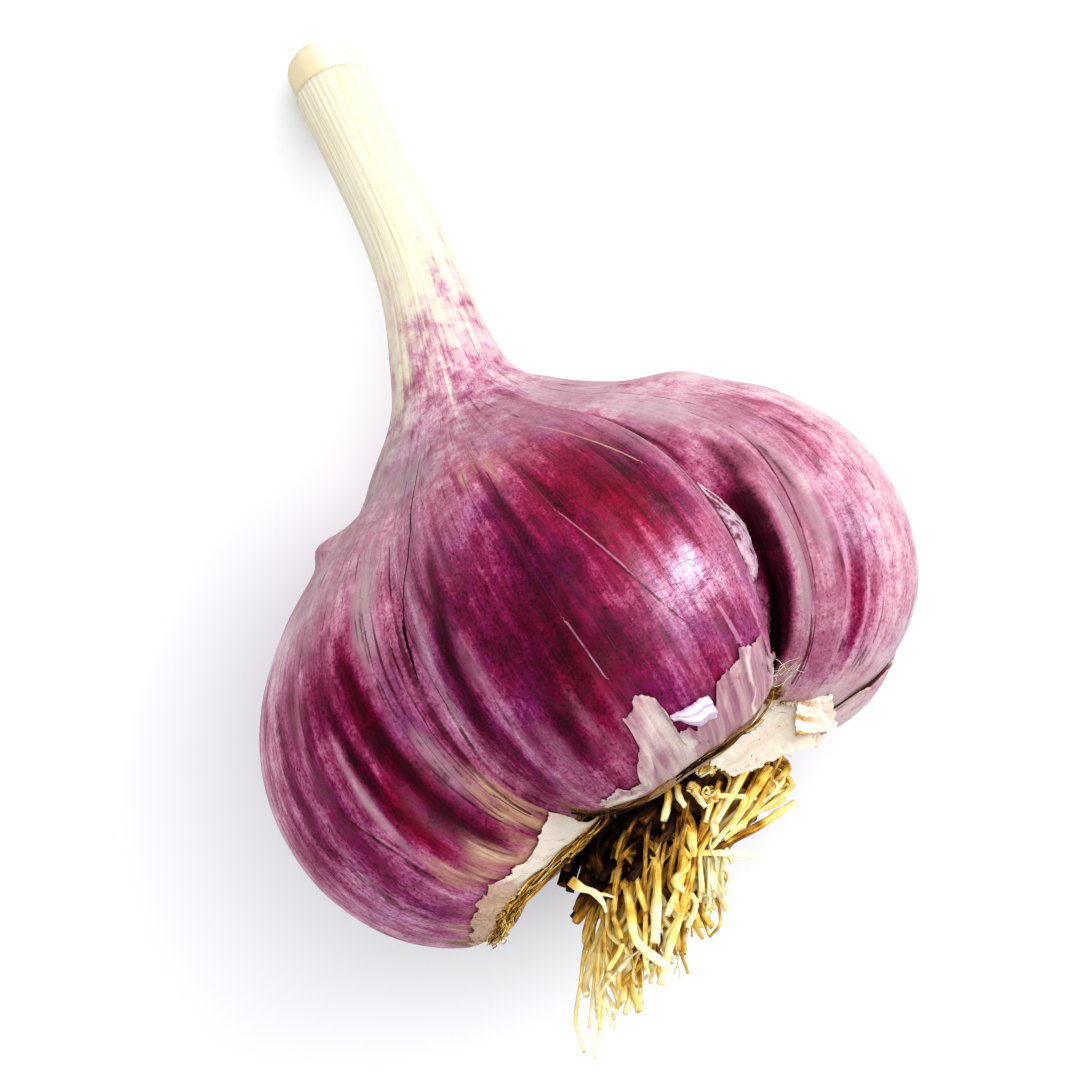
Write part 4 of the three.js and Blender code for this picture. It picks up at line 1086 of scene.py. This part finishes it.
def papery_pieces():
    """The remnants that cling to four cloves, and the three flakes that stand at the right of the roots."""
    skin_remnant(
        "front_remnant", "skin_patch_front", (-15.5, 30), [(-16, 3.06), (0, 3.06), (15, 3.22), (30, 3.52)],
        [(-16, 3.3), (-12, 3.5), (-5, 3.5), (-4.4, 3.75), (-2.2, 4.12), (-1.4, 4.45), (-0.6, 4.6),
         (4.4, 4.62), (5.2, 4.45), (5.8, 4), (8, 3.88), (13, 3.95), (15, 4.25), (19, 4.4), (22, 4.42),
         (26.5, 4.45), (27, 4.1), (30, 3.85)],
        (0.1, 0.3), remnant_pink, lambda u, v: 0.2 * smooth(-v, -0.3, 0), 40, 0.1, 240)
    skin_remnant(
        "left_remnant", "skin_strip_left", (-62, -29.5), LEFT_HEM,
        [(-62, 3.2), (-56, 3.35), (-50, 3.5), (-45, 3.55), (-42, 3.42), (-37, 3.25), (-33.5, 3.2),
         (-31, 3.32)],
        (0.25, 0.35), lambda u, v: 0.5 * smooth(-u, -0.64, -0.56) + 0.12,
        lambda u, v: 0.4 * smooth(-u, -0.66, -0.5) + 0.6 * smooth(-v, -0.3, 0) + 0.08, 43, 0.07, 220)
    skin_remnant(
        "right_remnant", "skin_strip_right", (66, 96), [(66, 1.6), (96, 1.8)],
        [(66, 2.6), (75, 2.9), (85, 3.1), (96, 2.6)], (0.15, 0.45), lambda u, v: 0.55,
        lambda u, v: 0.15 * (1 - v), 47, 0.2)
    skin_remnant(
        "under_remnant", "skin_strip_back", (183, 221), [(183, 1.2), (221, 1.2)],
        [(183, 3.1), (200, 3.3), (212, 2.6), (221, 2.3)], (0.1, 0.35), lambda u, v: 0.4,
        lambda u, v: 0.95 * smooth(-v, -0.6, -0.1), 53)
    loose_flake(
        "base_flake", [(3, -9.3, -0.2), (11.4, -9.3, 2), (12.4, -8.6, -4.4), (4.4, -8.8, -2.5)], 0.35,
        lambda u, v: 0.55 * smooth(-v, -0.08, 0) + 0.7 * smooth(u, 0.86, 1.0) * smooth(-v, -0.4, -0.1),
        61, 0.35)
    loose_flake(
        "base_fold", [(12.2, -9.6, 0.2), (14.9, -9.4, -1.4), (13.4, -9, -4), (10.4, -9.5, -2.6)], 0.4,
        lambda u, v: 0.9 * smooth(np.sin(v * 15 - 4 * u), 0.0, 0.8) * smooth(-u, -0.8, -0.1),
        67, 0.2, (60, 50))
    loose_flake(
        "base_lip", [(10.2, -9.9, 1.9), (12.6, -10, 0.6), (12, -9.5, -0.5), (9.8, -9.6, 0.7)], 0.3,
        lambda u, v: 0.25 + 0.7 * smooth(np.sin(u * 11 + 3 * v), 0.0, 0.7), 73, 0.3, (50, 30))


def curled_flap():
    """A small lilac-white curl that stands on the front remnant."""
    u, v = unit_square(60, 24)
    angle = 5.4 + 6.8 * u + 0.5 * jagged(v * 3, 71, 0.7) * (1 - u)
    q = 4.25 - 0.02 * u - (0.08 + 0.26 * smooth(u, 0, 0.6)) * v + 0.03 * jagged(u * 8, 75, 1.0)
    curl = 0.75 * np.sin(np.pi * np.clip(v * 0.9 + 0.1, 0, 1)) * smooth(u, 0, 0.4)
    height = 0.45 + curl + 0.12 * np.sin(v * 14)
    strand = np.stack([v * 7, v * 0, u * 5], -1)
    lilac = 0.25 + 0.75 * smooth(np.sin(v * 20 + 3 * u), -0.2, 0.6)
    sheet("curled_flap", "skin_curl", raised(angle, q, height), strand, lilac=lilac)


def torn_edge():
    """The crinkled silvery edge of the front clove's skin, standing out over the deep furrow."""
    u, v = unit_square(220, 16)
    q = 6.75 - 3.7 * u
    reach = smooth(u, -0.05, 0.3) * (1 - 0.62 * smooth(u, 0.46, 0.6))
    angle = 34.4 + (3.0 * v + 0.2 * jagged(u * 22, 81, 1.0) * v) * smooth(u, 0, 0.2) * smooth(-u, -1, -0.9)
    crinkle = flat_noise(u * 22 + v * 2, v * 7, 83, 4)
    rise = 1.75 * v**0.75 + 0.28 * crinkle * np.sin(np.pi * v) + 0.1 * jagged(u * 30, 89, 1.0) * v
    height = 0.08 + rise * reach
    # wine-dark gaps where the furrow shows through the film: partly the skin's own wine colour, partly
    # painted shade
    holes = smooth(flat_noise(u * 24 - v * 3, v * 6, 85, 4), 0.05, 0.25) * smooth(-v, -0.9, -0.75)
    holes = np.maximum(holes, 0.8 * smooth(u, 0.46, 0.6) * smooth(-v, -0.85, -0.7))
    pink = np.clip(0.85 - 0.6 * smooth(v, 0.88, 1.0) + 0.7 * crinkle, 0, 1)
    sheet("torn_edge", "bulb_body", raised(angle, q, height), fibre_space(angle, q) * 3, pink, thickness=0.07,
          wine=0.9 * holes, lilac=0.25)


# Fibres along two parts of the rim: start and stop angle, how many, and the brightest tone.
RIM_FIBRES = [(-29, -62, 230, 0.62), (-24, 26, 18, 0.22)]
HAIR_TUFT = np.array([12.0, -13.9, 1.8])  # where the white hairs start, in mm


def hem_path(rng, start, stop):
    """Path of one fibre along a part of the rim, from a start angle towards a stop angle."""
    first = start + (stop - start) * rng.uniform(-0.05, 0.75)
    last = first + (stop - start) * rng.uniform(0.12, 0.4)
    angle = np.linspace(first, last, 6)
    if stop < start:
        hem = np.interp(angle, *zip(*LEFT_HEM)) + 0.03
        depth = np.interp(angle, [-60, -51, -46, -40, -30], [0.2, 0.25, 0.35, 0.75, 0.45])
        q = hem - depth * rng.uniform(0, 1) + rng.normal(0, 0.04, 6)
    else:
        angle = np.minimum(angle, np.linspace(26.5, 27.5, 6))
        q = skin_rim(angle) - rng.uniform(0, 0.16) + rng.normal(0, 0.05, 6)
    return raised(angle, q, 0.15 + rng.uniform(0, 0.35) + np.linspace(0, rng.uniform(-0.1, 0.45), 6) ** 2)


def fringe():
    """Brown fibres of the oldest skins along the torn rim round the root plate, and a few white hairs."""
    rng = np.random.default_rng(8)
    strands = Strands()
    for start, stop, count, brightest in RIM_FIBRES:
        for _ in range(count):
            path = hem_path(rng, start, stop)
            strands.add(path, rng.uniform(0.04, 0.14), rng, rng.uniform(0.05, brightest), flat=0.6, sides=6,
                        taper=0.5, steps=4)
    for _ in range(16):
        base = HAIR_TUFT + rng.normal(0, 0.5, 3)
        way = np.array([rng.uniform(-1, 1.2), rng.uniform(-0.4, 0.1), rng.uniform(-0.3, 0.9)])
        path = [base, base + way * 0.8 + rng.normal(0, 0.15, 3), base + way * rng.uniform(1.2, 2.0)]
        strands.add(path, 0.04, rng, 1.3, sides=5, taper=0.6)
    piece = strands.build("fringe", root_look("rim_fibres"))
    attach(piece, "root")
    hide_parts("skin_strip_left")


def dry_fibre():
    """The loose pale fibre that lies across the roots, split in two at its end."""
    rng = np.random.default_rng(6)
    strands = Strands()
    path = [(-11.6, -11.2, -2.6), (-11.2, -11.8, -3.6), (-10.5, -12.1, -4.5), (-10.3, -12.3, -5.6),
            (-10.5, -12.5, -6.5)]
    strands.add(path, 0.52, rng, 0.9, flat=0.3, sides=9, taper=0.35, steps=8)
    branch = path[1:3] + [(-9.7, -12.2, -5.2), (-9.4, -12.2, -6.0)]
    strands.add(branch, 0.25, rng, 0.75, flat=0.3, taper=0.3, wiggle=0.1)
    piece = strands.build("dry_fibre", root_look("bleached_fibre"))
    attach(piece, "root")
    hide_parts("root_fibre")


# --- The cut end of the stem --------------------------------------------------------------------------------

# The core's outline from its hidden foot in the sheath to its cut end: radius, height.
STEM_PROFILE = [(0.02, 67.3), (2.3, 67.3), (2.45, 67.9), (2.45, 70.5), (3, 70.9), (3.2, 71.4), (3.2, 73.2),
                (3.05, 73.8), (2.6, 74.05), (0.02, 74.1)]


def stem_look():
    """Pale fibrous stalk, tan down one side."""
    look = Look("stem_core")
    fibre = look.noise(look.scaled(look.place(), (1, 0.15, 0.6)), 1600.0, 3, 0.6)
    colour = look.ramp(fibre, (0.3, (0.57, 0.53, 0.4)), (0.52, (0.64, 0.61, 0.52)),
                       (0.75, (0.7, 0.685, 0.63)))
    colour = look.mix(look.attribute("side_tan"), colour, (0.62, 0.51, 0.32))
    return look.finish(Base_Color=colour, Roughness=0.55, Normal=look.bump(fibre, 0.5, 0.0002),
                       Specular_IOR_Level=0.3)


def stem_end():
    """The pale core of the flower stalk, cut at a slant inside the sheath."""
    columns, rows = 64, 30
    radii, heights = lathe(STEM_PROFILE, np.linspace(0, len(STEM_PROFILE) - 1, rows))
    angle, radius = np.meshgrid(np.linspace(-180, 180, columns, endpoint=False), radii, indexing="ij")
    height = np.broadcast_to(heights, angle.shape)
    slant = 0.1 * radius * np.cos(np.radians(angle - 60)) * smooth(height, 71.8, 73.2)
    wobble = 1 + 0.03 * stripes(angle, np.full(angle.shape, 3.0), 3, 50, 91, 3)
    laid = lay_clear(around(angle, radius * wobble, height + slant))
    piece = make_object("stem_end", laid, tube_faces(columns, rows), stem_look())
    add_attribute(piece, "side_tan", 0.7 * smooth(-np.abs(apart(angle, -65)), -75, -60))
    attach(piece, "root")
    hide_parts("stem_core")


# --- Stage --------------------------------------------------------------------------------------------------

CAMERA_TILT = math.radians(8)  # from straight above, towards the stem
CAMERA_ROLL = math.radians(33)
CAMERA_DISTANCE = 0.45
CAMERA_AIM = Vector((0.00153, 0.02332, -0.00511))  # from the middle of the root plate, in the laid-down frame
FRAME_WIDTH = 1080 / 11.82 / 1000  # metres that the frame spans at the aim point
SENSOR_WIDTH = 36  # mm
FLOOR_REACH = 3.0  # metres from the bulb to the floor's sides
STUDIO_COLOUR = (0.97, 0.985, 1.0, 1)
STUDIO_STRENGTH = 0.745


def add_camera():
    """The camera, straight above the bulb but for a small tilt, with its upper edge rolled towards +X."""
    aim = Vector(lay(np.zeros(3))) + CAMERA_AIM
    back = Vector((0, math.sin(CAMERA_TILT), math.cos(CAMERA_TILT)))
    north = Vector((0, math.cos(CAMERA_TILT), -math.sin(CAMERA_TILT)))
    east = Vector((1, 0, 0))
    right = east * math.cos(CAMERA_ROLL) - north * math.sin(CAMERA_ROLL)
    up = east * math.sin(CAMERA_ROLL) + north * math.cos(CAMERA_ROLL)
    data = bpy.data.cameras.new("camera")
    data.sensor_width = SENSOR_WIDTH
    data.lens = SENSOR_WIDTH * CAMERA_DISTANCE / FRAME_WIDTH
    data.clip_start, data.clip_end = 0.01, 10
    camera = bpy.data.objects.new("camera", data)
    rotation = Matrix((right, up, back)).transposed().to_4x4()
    camera.matrix_world = Matrix.Translation(aim + back * CAMERA_DISTANCE) @ rotation
    bpy.context.scene.collection.objects.link(camera)
    bpy.context.scene.camera = camera


def add_area_light(name, direction, distance, size, power):
    """A white round light that shines on the bulb from a direction, in metres and watts."""
    data = bpy.data.lights.new(name, "AREA")
    data.shape, data.size, data.energy = "DISK", size, power
    light = bpy.data.objects.new(name, data)
    way = Vector(direction).normalized()
    light.matrix_world = Matrix.Translation(way * distance) @ way.to_track_quat("Z", "Y").to_matrix().to_4x4()
    bpy.context.scene.collection.objects.link(light)
    return light


def add_stage():
    """A white floor, a bright studio, a window at the right and a broad soft light from above."""
    look = Look("floor")
    shade = look.noise(look.place(), 3.0, 1)
    white = look.ramp(shade, (0.4, (0.75, 0.765, 0.775)), (0.6, (0.765, 0.78, 0.79)))
    corners = [(x * FLOOR_REACH, y * FLOOR_REACH, 0) for x, y in ((-1, -1), (1, -1), (1, 1), (-1, 1))]
    floor = make_object("floor", corners, [(0, 1, 2, 3)], look.finish(Base_Color=white, Roughness=0.6), False)
    world = bpy.data.worlds.new("studio")
    world.use_nodes = True
    background = world.node_tree.nodes["Background"]
    background.inputs["Color"].default_value = STUDIO_COLOUR
    background.inputs["Strength"].default_value = STUDIO_STRENGTH
    bpy.context.scene.world = world
    add_area_light("window", (0.86, 0.12, 0.5), 0.7, 0.37, 1.85)
    softbox = add_area_light("softbox", (0.2, 0.3, 0.93), 0.8, 0.8, 2.6)
    softbox.visible_glossy = False
    bpy.context.scene.view_settings.view_transform = "Standard"
    bpy.context.scene.view_settings.look = "High Contrast"


PAPERY = papery_look("papery_skin")
bulb_skin()
root_plate()
root_tuft()
papery_pieces()
curled_flap()
torn_edge()
fringe()
dry_fibre()
stem_end()
add_stage()
add_camera()
